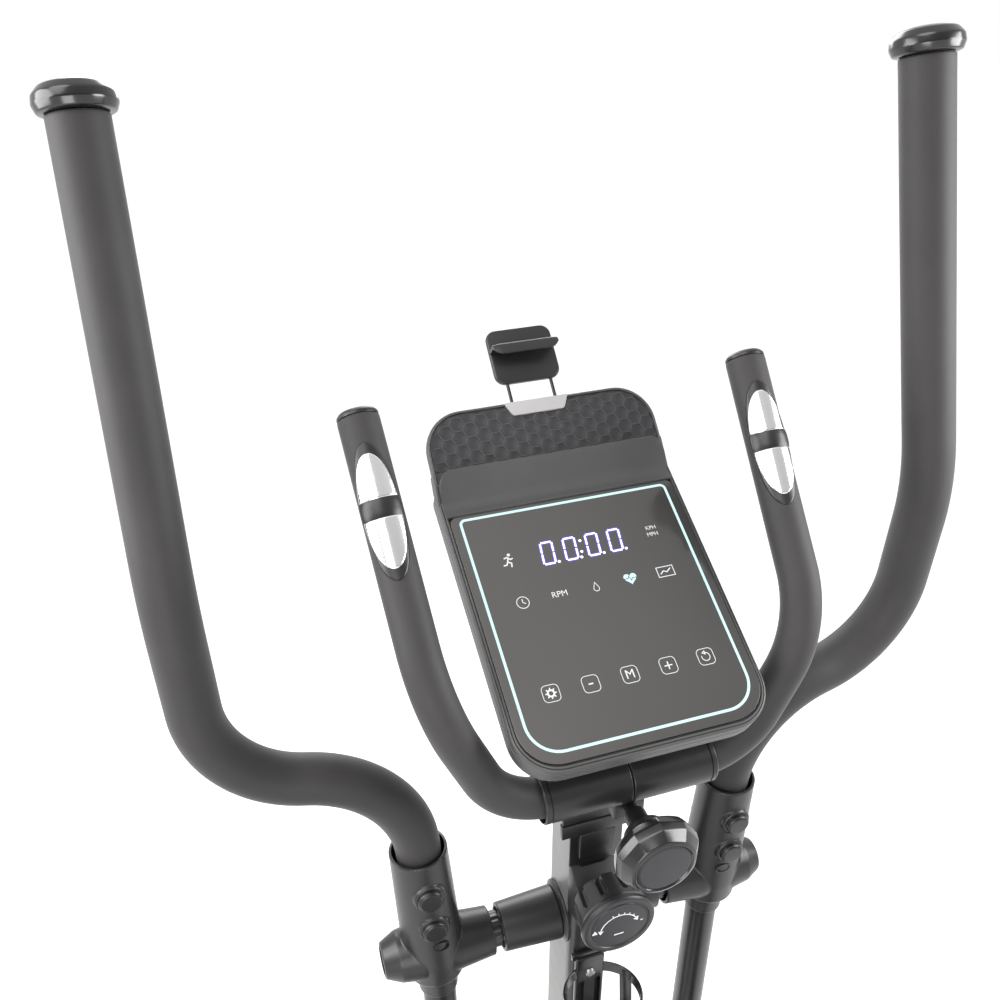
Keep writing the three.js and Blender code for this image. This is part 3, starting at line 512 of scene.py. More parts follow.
def brushed(name, color, rough):
    """Metal with fine lines along one axis."""
    n = Nodes(name)
    n.shader(Metallic=1.0)
    scale = n.add("ShaderNodeMapping", Scale=(1, 1, 40))
    n.link(n.coords, scale.inputs["Vector"])
    lines = n.add("ShaderNodeTexNoise", Scale=60.0, Detail=3.0)
    n.link(scale.outputs["Vector"], lines.inputs["Vector"])
    n.link(n.ramp(lines.outputs["Fac"], shade(color, 0.9), color), n.bsdf.inputs["Base Color"])
    n.link(n.span(lines.outputs["Fac"], rough * 0.8, rough * 1.3), n.bsdf.inputs["Roughness"])
    n.bump((lines.outputs["Fac"], 0.06, 0.00005))
    return n.material


FOAM = foam_material("foam_grip", (0.025, 0.023, 0.023))
PLASTIC = moulded("matte_black_plastic", (0.012, 0.012, 0.013), 0.34, 1800, 0.00004)
SATIN = moulded("satin_black_plastic", (0.007, 0.007, 0.0075), 0.33, 1800, 0.00003)
BODY_PLASTIC = moulded("console_plastic", (0.052, 0.051, 0.051), 0.46, 2200, 0.00005)
GLOSS = moulded("gloss_black_plastic", (0.006, 0.006, 0.0065), 0.2, 400, 0.00001, specular=0.7)
KNOB_FACE = moulded("knob_face_plastic", (0.010, 0.0105, 0.013), 0.36, 1500, 0.00003)
PAINT = moulded("black_paint", (0.006, 0.006, 0.0065), 0.3, 700, 0.00003, specular=0.4)
MAST_PAINT = moulded("mast_grey_paint", (0.115, 0.113, 0.111), 0.34, 900, 0.00003, spread=0.03)
HOUSING = moulded("housing_plastic", (0.026, 0.026, 0.028), 0.42, 1500, 0.00006)
GREY = moulded("grey_plastic", (0.36, 0.35, 0.35), 0.42, 1500, 0.00003, spread=0.04)
RUBBER = moulded("black_rubber", (0.022, 0.022, 0.024), 0.62, 1200, 0.00008)
PAD_RUBBER = moulded("pad_rubber", (0.018, 0.018, 0.020), 0.5, 2500, 0.00004)
# paler rubber for the hexagon ridges: painted highlight lines on their edges
RIDGE_HIGHLIGHT = moulded("ridge_painted_highlight", (0.055, 0.055, 0.058), 0.45, 2500, 0.00003)
IRON = moulded("cast_iron", (0.10, 0.10, 0.105), 0.5, 500, 0.0002, metal=0.8)
STEEL = brushed("machined_steel", (0.52, 0.52, 0.53), 0.3)
BOLT = brushed("zinc_bolt", (0.42, 0.41, 0.4), 0.35)
DARK_METAL = brushed("dark_bush", (0.09, 0.09, 0.095), 0.28)
CHROME = moulded("polished_plate", (0.84, 0.84, 0.85), 0.13, 300, 0.000005, spread=0.02, metal=1.0)
DEEP = moulded("shadow_black", (0.006, 0.006, 0.006), 0.6)
INK = moulded("white_print", (0.75, 0.75, 0.75), 0.5, spread=0.02)
CYAN = glow_material("cyan_line", (0.58, 0.83, 0.83), 0.85)
DIGIT = glow_material("led_digit", (0.86, 0.88, 1.0), 1.9)
HALO = glow_material("led_halo", (0.14, 0.11, 0.8), 0.7)
ICON = glow_material("icon_white", (0.72, 0.74, 0.75), 0.8)


def smoked_panel():
    """Dark acrylic with a clear polished surface; its colour is paler at its left side, a painted
    reflection.
    """
    n = Nodes("smoked_panel")
    place = n.add("ShaderNodeSeparateXYZ")
    n.link(n.coords, place.inputs["Vector"])
    # painted reflection: the base colour runs from paler at the left to darker at the right
    across = n.span(place.outputs["X"], 0, 1, -0.085, 0.085)
    n.link(n.ramp(across, (0.066, 0.062, 0.059), (0.038, 0.037, 0.036), 0, 1), n.bsdf.inputs["Base Color"])
    n.link(n.span(n.noise(30), 0.1, 0.14), n.bsdf.inputs["Roughness"])
    n.shader(Specular_IOR_Level=0.5, Coat_Weight=0.2)
    n.bump((n.noise(500), 0.03, 0.00001))
    return n.material


GLASS = smoked_panel()

# ---- swing handles
HANDLE_CORNERS = [(128.6, 0, 22), (136.3, 0, 187), (274.3, 12.3, 214.8), (278.2, 9, 366),
        (276.5, 101.8, 653.5)]
HANDLE_RADII = [92, 80, 197]
FOAM_R = 19
FOAM_START = 104
RIM_Z = 113.4
ARM_LEAN = math.radians(2.7)  # uprights, outwards at the top
BEND_Z = -50
UPRIGHT = Matrix.Translation((ARM_X, 0, 0)) @ turn(ARM_LEAN, "Y")
BOSS_HEIGHTS = (82, 47.6)
HANDLE_PATH = Path(HANDLE_CORNERS, HANDLE_RADII)


def axis_frame(at, along):
    """Matrix whose Z runs along a direction, in local millimetres."""
    return Matrix.Translation(at) @ Vector((0, 0, 1)).rotation_difference(along).to_matrix().to_4x4()


def handle(side):
    add = side_maker(side, f"arm_{side}", arm_frame(side))
    grip = HANDLE_PATH.part(lambda p: p.z > FOAM_START)

    def swell(d):
        return FOAM_R - 1.2 * math.exp(-(d / 30) ** 2)
    foam = add("grip_foam", tube(grip, swell, 72, 1.6), FOAM, "handle_foam", "handle_tube")
    cap = lathe([(0, 0.3), (20.5, 0.3, 0.8), (23, 1.2, 2), (25, 6, 3.5), (24.4, 11.4, 4), (20, 16.4, 5),
            (12, 18.3, 4), (0, 18.6)], segments=72)
    top = axis_frame(HANDLE_PATH.at[-1], HANDLE_PATH.along[-1])
    add("grip_cap", moved(cap, turned=top), GLOSS, "handle_cap")


def bolt_cap(facing, z):
    """Round cover of a clamp bolt on its raised seat, facing the user (-1) or away (1)."""
    seat = lathe([(0, 12), (12.6, 12), (12.6, 24.2, 1.4), (11.4, 25.6, 0.8), (0, 25.6)], "y", 48)
    dome = lathe([(0, 20), (10.1, 20), (10.1, 28.4, 2.2), (8.2, 29.8, 1.5), (0, 29.9)], "y", 48)
    flip = TO_USER if facing < 0 else Matrix()
    return [moved(moved(part, 0, 0, z, flip), turned=UPRIGHT) for part in (seat, dome)]


def joint_cover(side):
    mirror, body, frame_at = side == "left", f"arm_{side}", arm_frame(side)
    add = side_maker(side, body, frame_at)
    upright = moved(lathe([(0, -44), (16.6, -44, 1), (17, -27, 3), (24.5, -20, 6), (25.6, 0, 20),
            (24.8, 30, 20), (23.1, RIM_Z - 2, 0.5), (23.1, RIM_Z, 0.6), (0, RIM_Z)]), turned=UPRIGHT)
    hub = lathe([(0, 78), (20.2, 78, 1), (20.6, 84, 2), (23.4, 112, 20), (23.6, 140, 16), (20.6, 158, 3),
            (14.6, 170.4, 1.2), (13.4, 171, 0.5), (0, 171)], "x")
    seats = [bolt_cap(facing, z)[0] for facing in (-1, 1) for z in BOSS_HEIGHTS]
    shell = mesh_object(f"t_cover_{side}", *joined(upright, hub, *seats), frame_at, mirror)
    melt(shell, voxel=0.8, rounds=2)
    hollows = [moved(lathe([(0, -19), (19.4, -19), (19.4, 97), (20.8, 99), (20.9, RIM_Z - 1.4),
            (21.5, RIM_Z + 4), (0, RIM_Z + 4)]), turned=UPRIGHT),
            lathe([(0, 70), (17.5, 70), (17.5, 163), (0, 163)], "x"),
            moved(lathe([(0, -60), (14.5, -60), (14.5, 0), (0, 0)]), turned=UPRIGHT),
            lathe([(0, 169.4), (11.8, 169.4), (11.8, 180), (0, 180)], "x")]
    carve(shell, *hollows, matrix=frame_at, mirror=mirror)
    finish_piece(shell, body, PLASTIC, f"joint_cover_{side}", 40)
    domes = [bolt_cap(facing, z)[1] for facing in (-1, 1) for z in BOSS_HEIGHTS]
    add("bolt_caps", joined(*domes), SATIN)
    plug = lathe([(0, 166), (11.5, 166), (11.5, 169.8, 0.8), (0, 170.1)], "x", 40)
    add("hub_plug", plug, DEEP)
    oval = [(6.5 * math.cos(TAU * k / 36), 4.5 * math.sin(TAU * k / 36)) for k in range(36)]
    tab = moved(ribbon(oval, 0.7, -2, 0.3, closed=True), ARM_X - 2, -25, 27, UPWARD)
    add("cover_tab", tab, SATIN)


def swing_arm(side):
    add = side_maker(side, f"arm_{side}", arm_frame(side))
    drop = (Vector(JOINT[f"{side}_beam_tilt"]["pos_m"]) - AXLE).yz.length / MM
    bends = [(ARM_X - 10 * math.tan(ARM_LEAN), 0, -10), (BEAM_X, 0, BEND_Z), (BEAM_X, 0, 12 - drop)]
    shank = tube(Path(bends, [100], 3.0), 14, 56, 0.6)
    bush = lathe(symmetric([(8.2, -15), (15, -15, 1), (16, -14, 1)], True), "x", 48, closed=True)
    add("arm_tube", joined(shank, moved(bush, BEAM_X, 0, -drop)), PAINT, "swing_arm")
    ribs = lathe([(8.4, 70.4), (14.4, 70.4, 0.5), (14.4, 84), (8.4, 84), (8.4, 70.4)], "x", 96,
            wave=lambda a, h: 1 + 0.03 * math.cos(16 * a), closed=True)
    add("hub_bush", ribs, DARK_METAL)


for side_name in SIDES:
    handle(side_name)
    joint_cover(side_name)
    swing_arm(side_name)


# ---- mast, sleeves, axle
MAST_W, MAST_D, MAST_CORNER, MAST_Y = 31, 56, 7, -2
MAST_FRONT = MAST_Y - MAST_D / 2


def cut_below(obj, z):
    """Cuts a mast piece off level at a height in metres."""
    carve(obj, block(-200, 200, -200, 400, -300, 0, 1), matrix=Matrix.Translation((0, AXLE.y, z)))


def mast():
    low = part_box("mast")[0]
    outline = round_rect(MAST_W, MAST_D, MAST_CORNER, MAST_CORNER, 0, MAST_Y, 8)
    bottom_z = (low.z - AXLE.z) / MM / math.cos(MAST_LEAN)
    tube_piece = mesh_object("mast_tube", *stack(outline, [(0, bottom_z - 30), (0, -300), (0, 200),
            (0, 360)]), MAST)
    cut_below(tube_piece, low.z + 0.0003)
    carve(tube_piece, block(-200, 200, -400, 400, -25.6, 200, 1), matrix=CONSOLE)
    finish_piece(tube_piece, "root", MAST_PAINT, "mast")
    section = []
    for offset, way in ((0.6, 1), (-0.6, -1)):
        half = arc_points(MAST_CORNER + offset, -90, 0, 8, MAST_W / 2 - MAST_CORNER,
                MAST_FRONT + MAST_CORNER)
        half.append((MAST_W / 2 + offset, MAST_FRONT + 10))
        whole = [(-x, y) for x, y in reversed(half)] + half
        section += whole[::way]
    piece("mast_front_strip", skin([[(x, y, z) for x, y in section] for z in (-768, 318)]), "root", SATIN,
            MAST)


def boot():
    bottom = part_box("mast_boot")[0].z
    rings = []
    base = round_rect(78, 100, 30, 30, 0, MAST_Y + 2, 8)
    top = round_rect(MAST_W + 8, MAST_D + 8, 12, 12, 0, MAST_Y, 8)
    steps = 14
    height = 128
    low_z = (bottom - AXLE.z) / MM / math.cos(MAST_LEAN) - 22
    for k in range(steps + 1):
        t = k / steps
        ease = 1 - (1 - t) ** 2.2
        ring = [Vector(a).lerp(Vector(b), ease) for a, b in zip(base(), top())]
        rings.append([(p.x, p.y, low_z + height * t) for p in ring])
    rings.append([(x, y, low_z + height + 1.5) for x, y in top(1.5)])
    body = mesh_object("boot_shroud", *skin(rings), MAST)
    cut_below(body, bottom)
    finish_piece(body, "root", HOUSING, "mast_boot")


def sleeve(side):
    add = side_maker(side, "root")
    cone = lathe([(8.4, 20), (22.2, 20, 0.6), (22.6, 21, 0.6), (20.2, 69.4, 0.8), (17, 70, 0.6),
            (16.6, 67, 0.4), (8.4, 67), (8.4, 20)], "x", 72, closed=True)
    add("axle_cone", cone, PLASTIC, "axle_sleeve")
    collar = lathe([(8.4, 15), (26.4, 15), (26.4, 17.4, 1.4), (22.2, 19.8, 0.6), (8.4, 19.8), (8.4, 15)],
            "x", 72, closed=True)
    add("axle_collar", collar, SATIN)


mast()
boot()
for side_name in SIDES:
    sleeve(side_name)
axle_rod = lathe(symmetric([(0, -162), (7.2, -162, 0.6), (8, -161)]), "x", 40)
piece("axle_rod", axle_rod, "root", STEEL, UPPER, "swing_axle")

# ---- pulse bar
BAR_HALF = [(89, -103, 214), (132.5, -116, 312), (141, -1.7, 466.7)]
BAR_CORNERS = [(-x, y, z) for x, y, z in reversed(BAR_HALF)] + BAR_HALF
BAR_RADII = [90, 55, 55, 90]
BAR_FOAM_R = 14.1
COVER_END = 64
BAR_PATH = Path(BAR_CORNERS, BAR_RADII, 3.0)
BAR_TOP = Vector(BAR_CORNERS[-1])
BAR_ALONG = (BAR_TOP - Vector(BAR_CORNERS[-2])).normalized()
SENSOR_MIDDLE = 65.3  # down from the bar's top end
SENSOR_TURN = {"left": math.radians(18), "right": math.radians(-6)}
SENSOR_R = 15.5


def sensor_patch(lengths, half_of, lift, turned_by):
    """Patch wrapped on the grip: lengths down from the top, half width and lift there."""
    face = Vector((-0.12, -0.8, 0.59))
    face = (face - BAR_ALONG * face.dot(BAR_ALONG)).normalized()
    across = BAR_ALONG.cross(face)
    columns = 32
    rings = []
    for d in lengths:
        row = []
        for side, steps in ((1, range(columns + 1)), (0, range(columns, -1, -1))):
            for k in steps:
                u = math.sin(math.pi * (k / columns - 0.5))
                a = turned_by + u * half_of(d) / SENSOR_R
                r = BAR_FOAM_R + (lift(d, u) if side else -0.8)
                row.append(BAR_TOP - BAR_ALONG * d + (face * math.cos(a) + across * math.sin(a)) * r)
        rings.append(row)
    return skin(rings)


def pulse_sensor(side):
    add, turned_by = side_maker(side, "pulse_bar"), SENSOR_TURN[side]

    def oval(length, half):
        return lambda d: max(half * math.sqrt(max(1 - ((d - SENSOR_MIDDLE) / length) ** 2, 0.0)), 0.15)

    def stations(start, end, count=60):
        middle, reach = (start + end) / 2, (end - start) / 2
        return [middle - reach * math.cos(math.pi * k / count) for k in range(count + 1)]
    base = oval(45.2, 17.0)

    def base_lift(d, u):
        rim = min(1.0, (1 - abs(u)) * base(d) / 1.6)
        strap = math.exp(-((d - 63.7) / 7.5) ** 4)
        return 0.1 + 0.8 * math.sqrt(rim) + 1.3 * strap * rim
    add("sensor_base", sensor_patch(stations(20.1, 110.5, 80), base, base_lift, turned_by), SATIN,
            "pulse_sensor")
    plate = oval(37.9, 15.0)
    for name, start, end in (("upper", 27.5, 57.8), ("lower", 69.6, 103.1)):
        def plate_lift(d, u, start=start, end=end):
            edge = min(1.0, (min(d - start, end - d) + 0.1) / 1.2, (1 - abs(u)) * plate(d) / 1.2 + 0.02)
            return 0.8 + 1.2 * math.sqrt(max(edge, 0.0))
        add(f"sensor_plate_{name}", sensor_patch(stations(start, end), plate, plate_lift, turned_by), CHROME)


def pulse_bar():
    for side, sign in (("left", -1), ("right", 1)):
        grip = BAR_PATH.part(lambda p: sign * p.x > COVER_END - 8.5)
        foam = piece(f"pulse_grip_{side}", tube(grip, BAR_FOAM_R, 56, 1.0), "pulse_bar", FOAM, UPPER,
                f"pulse_foam_{side}")
        top = Vector((sign * BAR_TOP.x, BAR_TOP.y, BAR_TOP.z))
        along = Vector((sign * BAR_ALONG.x, BAR_ALONG.y, BAR_ALONG.z))
        plug = lathe([(0, 0.1), (12.6, 0.1), (13.9, 0.3, 0.4), (13.9, 2.4, 1.4), (12, 4.6, 1.2), (8, 5.3, 2),
                (0, 5.5)], segments=48)
        piece(f"bar_plug_{side}", moved(plug, turned=axis_frame(top, along)), "pulse_bar", SATIN, UPPER,
                f"pulse_plug_{side}")
        pulse_sensor(side)
    core = tube(BAR_PATH, 11, 40, 0.5)
    piece("bar_core", core, "pulse_bar", PAINT, UPPER, "pulse_bar_tube")


def clamp_covers():
    _, bar_y, bar_z = BAR_CORNERS[2]
    profile = [(0, 0.4), (17.3, 0.4, 0.6), (17.9, 1.2, 0.4), (17.9, COVER_END - 5.2),
            (17.2, COVER_END - 4.9), (17.2, COVER_END - 4.3), (17.9, COVER_END - 4),
            (17.9, COVER_END - 1, 0.8), (17, COVER_END, 0.5), (16.6, COVER_END, 0.3),
            (16.6, COVER_END - 12), (0, COVER_END - 12)]
    for side in SIDES:
        shell = mesh_object(f"bar_cover_{side}", *moved(lathe(profile, "x", 96), 0, bar_y, bar_z), UPPER,
                side == "left")
        carve(shell, block(-9, 9, -94, -60, 190, 214, 2), matrix=MAST)
        finish_piece(shell, "root", PLASTIC, f"clamp_cover_{side}", 40)


def handlebar_clamp():
    parts = [block(-22, 22, -33.2, MAST_FRONT - 0.6, 95, 222, 0.6),
            block(-30, 30, -36, MAST_FRONT - 0.6, 131.2, 145, 0.9),
            block(-29.3, 29.3, -35.2, MAST_FRONT - 0.6, 145.3, 156.8, 0.9),
            block(-15, 15, -36, MAST_FRONT - 0.6, 105, 131.4, 1),
            block(-11.5, 11.5, -84, MAST_FRONT - 2, 198, 216, 1.5)]
    piece("clamp_bracket", joined(*parts), "root", SATIN, MAST, "handlebar_clamp", slot="black_paint")


pulse_bar()
clamp_covers()
handlebar_clamp()

# ---- knobs and tension mount
CLAMP_Z = 208.6
KNOB_Y = -140.3  # front of the clamp knob
TENSION_Z = 78.5


def clamp_knob():
    def lobes(a, h):
        """Ten flats round the front bevel, fading out towards the rear."""
        depth = 0.75 * min(1.0, max(0.0, (h - 0.7) / 3)) * min(1.0, max(0.0, (25 - h) / 10))
        step = TAU / 10
        flat = math.cos(step / 2) / math.cos(a % step - step / 2)
        return 1 + depth * (flat - 1)
    head = lathe([(0, 1.6), (19.8, 1.6, 0.4), (20.6, 0.4, 0.8), (23.5, 1.6, 2), (28.8, 8, 4), (30.2, 14, 4),
            (28.6, 20, 5), (20, 26, 5), (14.5, 28.3, 1), (0, 28.3)], "y", 270, lobes)
    piece("knob_head", moved(head, 0, KNOB_Y, CLAMP_Z), "clamp_screw", GLOSS, MAST, "clamp_knob", angle=60)
    face = lathe([(0, 0.7), (17.5, 0.9, 2), (19.6, 1.3, 0.4), (19.6, 4), (0, 4)], "y", 96)
    piece("knob_disc", moved(face, 0, KNOB_Y, CLAMP_Z), "clamp_screw", KNOB_FACE, MAST)
    neck = lathe([(0, 24), (15, 24), (15, 34, 1.5), (8, 36, 1.5), (8, 49, 0.5), (4.6, 49.5), (4.6, 84),
            (0, 84)], "y", 56)
    piece("knob_neck", moved(neck, 0, KNOB_Y, CLAMP_Z), "clamp_screw", SATIN, MAST)


def tension_knob():
    face, length, lobes = -83.4, 29.8, 10

    def grip(a, h):
        """Round-ended finger grooves from the rear to two thirds of the way."""
        phase = (a * lobes / TAU) % 1 - 0.5
        across = phase * TAU * 27 / lobes
        away = math.hypot(across, min(0.0, h - 14.5)) / 3.1
        return 1 - 0.13 * max(0.0, 1 - away ** 4)
    body = [(0, 1.1), (24.4, 1.1, 0.4), (25, 0, 0.6), (28.6, 0.2, 1.2), (30, 1.8, 1.2), (29.8, 5, 1),
            (28.6, 7.4, 2)]
    body += [(28.6 - 0.13 * k, 7.4 + 1.0 * k) for k in range(1, 22)]
    body += [(25.6, length, 0.8), (0, length)]
    knob = lathe(body, "y", 400, grip)
    piece("dial_body", moved(knob, 0, face, TENSION_Z), "tension_dial", PLASTIC, MAST, "tension_knob",
            angle=50)
    plate = lathe([(0, 0.5), (22.6, 0.5, 0.3), (23.2, 1.2), (23.2, 2), (0, 2)], "y", 96)
    piece("dial_plate", moved(plate, 0, face, TENSION_Z), "tension_dial", KNOB_FACE, MAST)
    marks = [ribbon(arc_points(15.5, 25, 175, 30), 0.8)]
    for k in range(6):
        a = math.radians(30 + 16 * k)
        marks.append(ribbon([polar(15.4, a), polar(17 + 0.25 * k, a)], 0.7))
    for a, way in ((25, -1), (175, 1)):
        tip = arc_points(15.5, a + way * 6, a + way * 7, 1)[0]
        wing = [arc_points(13.6, a - way * 6, a, 1)[0], tip, arc_points(17.4, a - way * 6, a, 1)[0]]
        marks.append(ribbon(wing, 0.9))
    marks.append(moved(ribbon([(-1.5, -1), (0, 1.7), (1.5, -1)], 1.0, closed=True), -20.2, 2.4))
    marks += [ribbon([(-4, -6), (4, -6)], 1.0), ribbon([(17.5, 3.2), (19.5, 3.2)], 0.8)]
    piece("dial_marks", moved(joined(*marks), 0, face + 0.5, TENSION_Z - 4, UPWARD), "tension_dial", INK,
            MAST)


def tension_mount():
    outline = closed_outline([(-24.2, 37, 1), (-24.2, 91, 0.5), (-27, 91, 0.6), (-40, 79.5, 0.6),
            (-52, 79, 1), (-52, 43, 3), (-34, 37, 4)])
    levels = [(0.8, -18.5), (0.2, -18.3), (0, -17.8), (0, 17.8), (0.2, 18.3), (0.8, 18.5)]
    piece("dial_mount", stack(outline, levels, "yz"), "root", PLASTIC, MAST, "tension_mount")


clamp_knob()
tension_knob()
tension_mount()


# ---- bottle cage
def bottle_cage():
    cage_frame = MAST @ shift(*CAGE_AT) @ turn(-MAST_LEAN)

    def hoop(z0, z1, inner=30.8, outer=33.2):
        return lathe([(inner, z0), (outer, z0, 0.8), (outer, z1, 1), (inner + 0.3, z1, 1), (inner, z0)],
                segments=96, closed=True)
    parts = [hoop(-9.5, 0), hoop(-90, -83), hoop(-150, -142)]
    for angle in (-60, 60, 180):
        strap = block(-8 if angle == 180 else -6, 8 if angle == 180 else 6, 30.9, 33.1, -149, -1, 0.8)
        parts.append(moved(strap, turned=turn(math.radians(angle), "Z")))
    parts.append(slab(round_rect(65, 12, 4, 4), -150, -146, 1))
    parts.append(slab(round_rect(12, 65, 4, 4), -150, -146, 1))
    piece("cage_basket", joined(*parts), "root", GLOSS, cage_frame, "bottle_cage")
    plate = mesh_object("cage_plate", *block(-13, 13, MAST_FRONT - 6, MAST_FRONT - 0.4, -190, -24, 1.5),
            MAST)
    slots = []
    for x in (-7.6, 7.6):
        hole = slab(round_rect(5.5, 84, 2.7, 2.7, x, -96), -20, 20, 0.3)
        slots.append(moved(hole, 0, MAST_FRONT, 0, UPWARD))
    carve(plate, *slots, matrix=MAST)
    finish_piece(plate, "root", GLOSS)
    screw = lathe([(0, 0), (4.4, 0), (4.2, 1.6, 0.6), (2.6, 2.6, 0.6), (0, 2.7)], "y", 32)
    heads = [moved(screw, 0, MAST_FRONT - 6, z, TO_USER) for z in (-44, -160)]
    piece("cage_screws", joined(*heads), "root", BOLT, MAST)
    tab = block(-16, 16, MAST_FRONT - 4, MAST_FRONT - 0.4, -27, -19, 1)
    piece("cage_tab", tab, "root", GLOSS, MAST)


bottle_cage()

# ---- console
BODY_HALF, BODY_LOW, BODY_HIGH = 89, -100, 118
GLASS_HALF, GLASS_LOW, GLASS_HIGH = 85, -95, 91.2
REST_H = 46.6
REST_W = 177
LEDGE_HALF = 86.5


def console_body():
    outline = round_rect(2 * BODY_HALF, BODY_HIGH - BODY_LOW, 5, 30, 0, (BODY_LOW + BODY_HIGH) / 2, 10)
    back = [(14, -25), (6, -24.6), (2.5, -23), (0.6, -20), (0, -16), (0, -8.6), (0.5, -8.1)]
    piece("console_back", stack(outline, back), "root", BODY_PLASTIC, CONSOLE, "console_back_shell")
    front = [(0.5, -7.9), (0, -7.4), (0, -2.6), (0.25, -1.5), (0.9, -0.9), (1.5, -0.8), (1.65, -1.6),
            (2.0, -1.6), (2.15, -0.6), (2.6, -0.15), (3.2, -0.1), (3.45, -0.5), (3.5, -1.6), (4.4, -1.6),
            (4.4, -3)]
    piece("console_front", stack(outline, front), "root", BODY_PLASTIC, CONSOLE, "console_front_frame")
    # Black loops set in the frame's two grooves: painted shade.
    for name, near, far, level in (("outer", 1.65, 2.05, -1.3), ("inner", 3.45, 4.3, -1.2)):
        loop = [(near, -2), (near, level), (far, level), (far, -2), (near, -2)]
        piece(f"console_seam_shade_{name}", stack(outline, loop, loop=True), "root", DEEP, CONSOLE)
    glass = round_rect(2 * GLASS_HALF, GLASS_HIGH - GLASS_LOW, 6, 26, 0, (GLASS_HIGH + GLASS_LOW) / 2, 10)
    piece("touch_glass", slab(glass, -1.6, 0, 0.25, 0.1), "root", GLASS, CONSOLE, "console_glass")


def ledge():
    """Ramp above the glass: a shallow hollow, then a straight slope up to its lip."""
    half, corner, top_s = LEDGE_HALF, 10, 122.5
    stations = []
    for k in range(41):
        u = -1 + 2 * k / 40
        stations.append(half * math.sin(u * math.pi / 2))
    rings = []
    for x in stations:
        over = max(0.0, abs(x) - (half - corner))
        end_s = top_s - corner + math.sqrt(max(corner ** 2 - over ** 2, 0.0))
        ring = [(91.3, -3), (91.3, 1.0), (91.8, 1.5), (92.8, 1.3), (95, 0.5), (98, 0.0), (101, 0.3),
                (104, 1.6)]
        slope = (14 - 1.6) / (120 - 104)
        for j in range(1, 7):
            s = 104 + (end_s - 2.5 - 104) * j / 6
            ring.append((s, 1.6 + slope * (s - 104)))
        peak = ring[-1][1]
        ring += [(end_s - 1.2, peak + 0.6), (end_s - 0.2, peak + 0.1), (end_s, peak - 1.2), (end_s, -3)]
        rings.append([(x, s, h) for s, h in ring])
    piece("console_ledge", skin(rings), "root", BODY_PLASTIC, CONSOLE, angle=50)
    cheek = closed_outline([(103, -1.2, 1), (115, 4.2, 3), (125, 7.6, 0.5), (127.5, -1.5, 1),
            (117.5, -8.5, 2), (103, -8.5, 2)])
    levels = [(0.6, 86.4), (0, 86.8), (0, 88.2), (0.5, 88.7)]
    cheeks = [stack(cheek, [(inset, sign * h) for inset, h in levels], "yz") for sign in (-1, 1)]
    piece("rest_cheeks", joined(*cheeks), "root", BODY_PLASTIC, CONSOLE)


def tablet_rest():
    outline = round_rect(REST_W, REST_H + 8, 29, 4, 0, (REST_H - 8) / 2, 12)
    wall = [(3, -10), (1, -9.4), (0.2, -8), (0, -6), (0, -1.4), (0.3, -0.5), (0.9, 0), (1.6, 0.1),
            (2.0, -0.2), (2.1, -1.4), (2.2, -2)]
    piece("tablet_wall", stack(outline, wall), "root", BODY_PLASTIC, REST)
    half, low, high, corner = REST_W / 2 - 2.5, 3.6, REST_H - 2.4, 26.6
    column_pitch, row_pitch, side_length = 9.0, 10.4, 6.0
    rows, columns = 96, 360

    def width(y):
        over = max(0.0, y - (high - corner))
        return half - corner + math.sqrt(max(corner ** 2 - over ** 2, 0.0))

    def centre(column, row):
        return column * column_pitch, (row + (0.5 if column % 2 else 0)) * row_pitch

    def height(x, y):
        near = round(x / column_pitch)
        reach = 99.0
        for column in (near - 1, near, near + 1):
            row = round(y / row_pitch - (0.5 if column % 2 else 0))
            cx, cy = centre(column, row)
            reach = min(reach, math.hypot(x - cx, y - cy))
        return -1.7 + 0.8 * min(1.0, (reach / 5.2) ** 2)
    rings = []
    for i in range(rows + 1):
        y = low + (high - low) * i / rows
        w = width(y)
        top = []
        for k in range(columns + 1):
            x = w * (2 * k / columns - 1)
            top.append((x, y, height(x, y)))
        rings.append(top + [(w, y, -2), (-w, y, -2)])
    piece("hexagon_pad", skin(rings), "root", PAD_RUBBER, REST, "tablet_pad", angle=60)
    # Ridges between the hexagons, paler than the pad: painted highlight lines on their edges.
    ridges = []
    for column in range(-10, 11):
        for row in range(-1, 6):
            cx, cy = centre(column, row)
            corners = arc_points(side_length, -60, 120, 3, cx, cy)
            for start, end in zip(corners, corners[1:]):
                inside = all(low < y < high - 0.5 and abs(x) < width(y) - 0.8 for x, y in (start, end))
                under_dock = all(y > REST_H - 10 and abs(x) < 22 for x, y in (start, end))
                if inside and not under_dock:
                    ridges.append(ribbon([start, end], 0.55, -1.3, -0.55))
    piece("hexagon_ridges", joined(*ridges), "root", RIDGE_HIGHLIGHT, REST)
    trapezoid = closed_outline([(-20, REST_H - 10.4, 3.5), (20, REST_H - 10.4, 3.5), (25, REST_H, 0.8),
            (-25, REST_H, 0.8)])
    piece("dock_cover", slab(trapezoid, -3, 0.7, 0.6), "root", GREY, REST, "dock_insert")


def console_back_details():
    boss = slab(round_rect(74, 60, 8, 8, 0, 4, 6), -28.5, -24, 2)
    piece("console_back_boss", boss, "root", BODY_PLASTIC, CONSOLE)
    screw = lathe([(0, -25.8), (3.2, -25.8), (3.4, -24.6, 0.4), (3.4, -22), (0, -22)], segments=24)
    heads = [moved(screw, x, y) for x in (-66, 66) for y in (-74, 84)]
    piece("console_screws", joined(*heads), "root", BOLT, CONSOLE)
    # Black slabs on the back standing for vent slots: painted shade in the openings.
    vent_shade = [slab(round_rect(3, 26, 1.5, 1.5, x, -58, 3), -25.6, -24.2, 0.3) for x in range(-24, 25, 8)]
    piece("console_vent_shade", joined(*vent_shade), "root", DEEP, CONSOLE)


console_body()
ledge()
tablet_rest()
console_back_details()


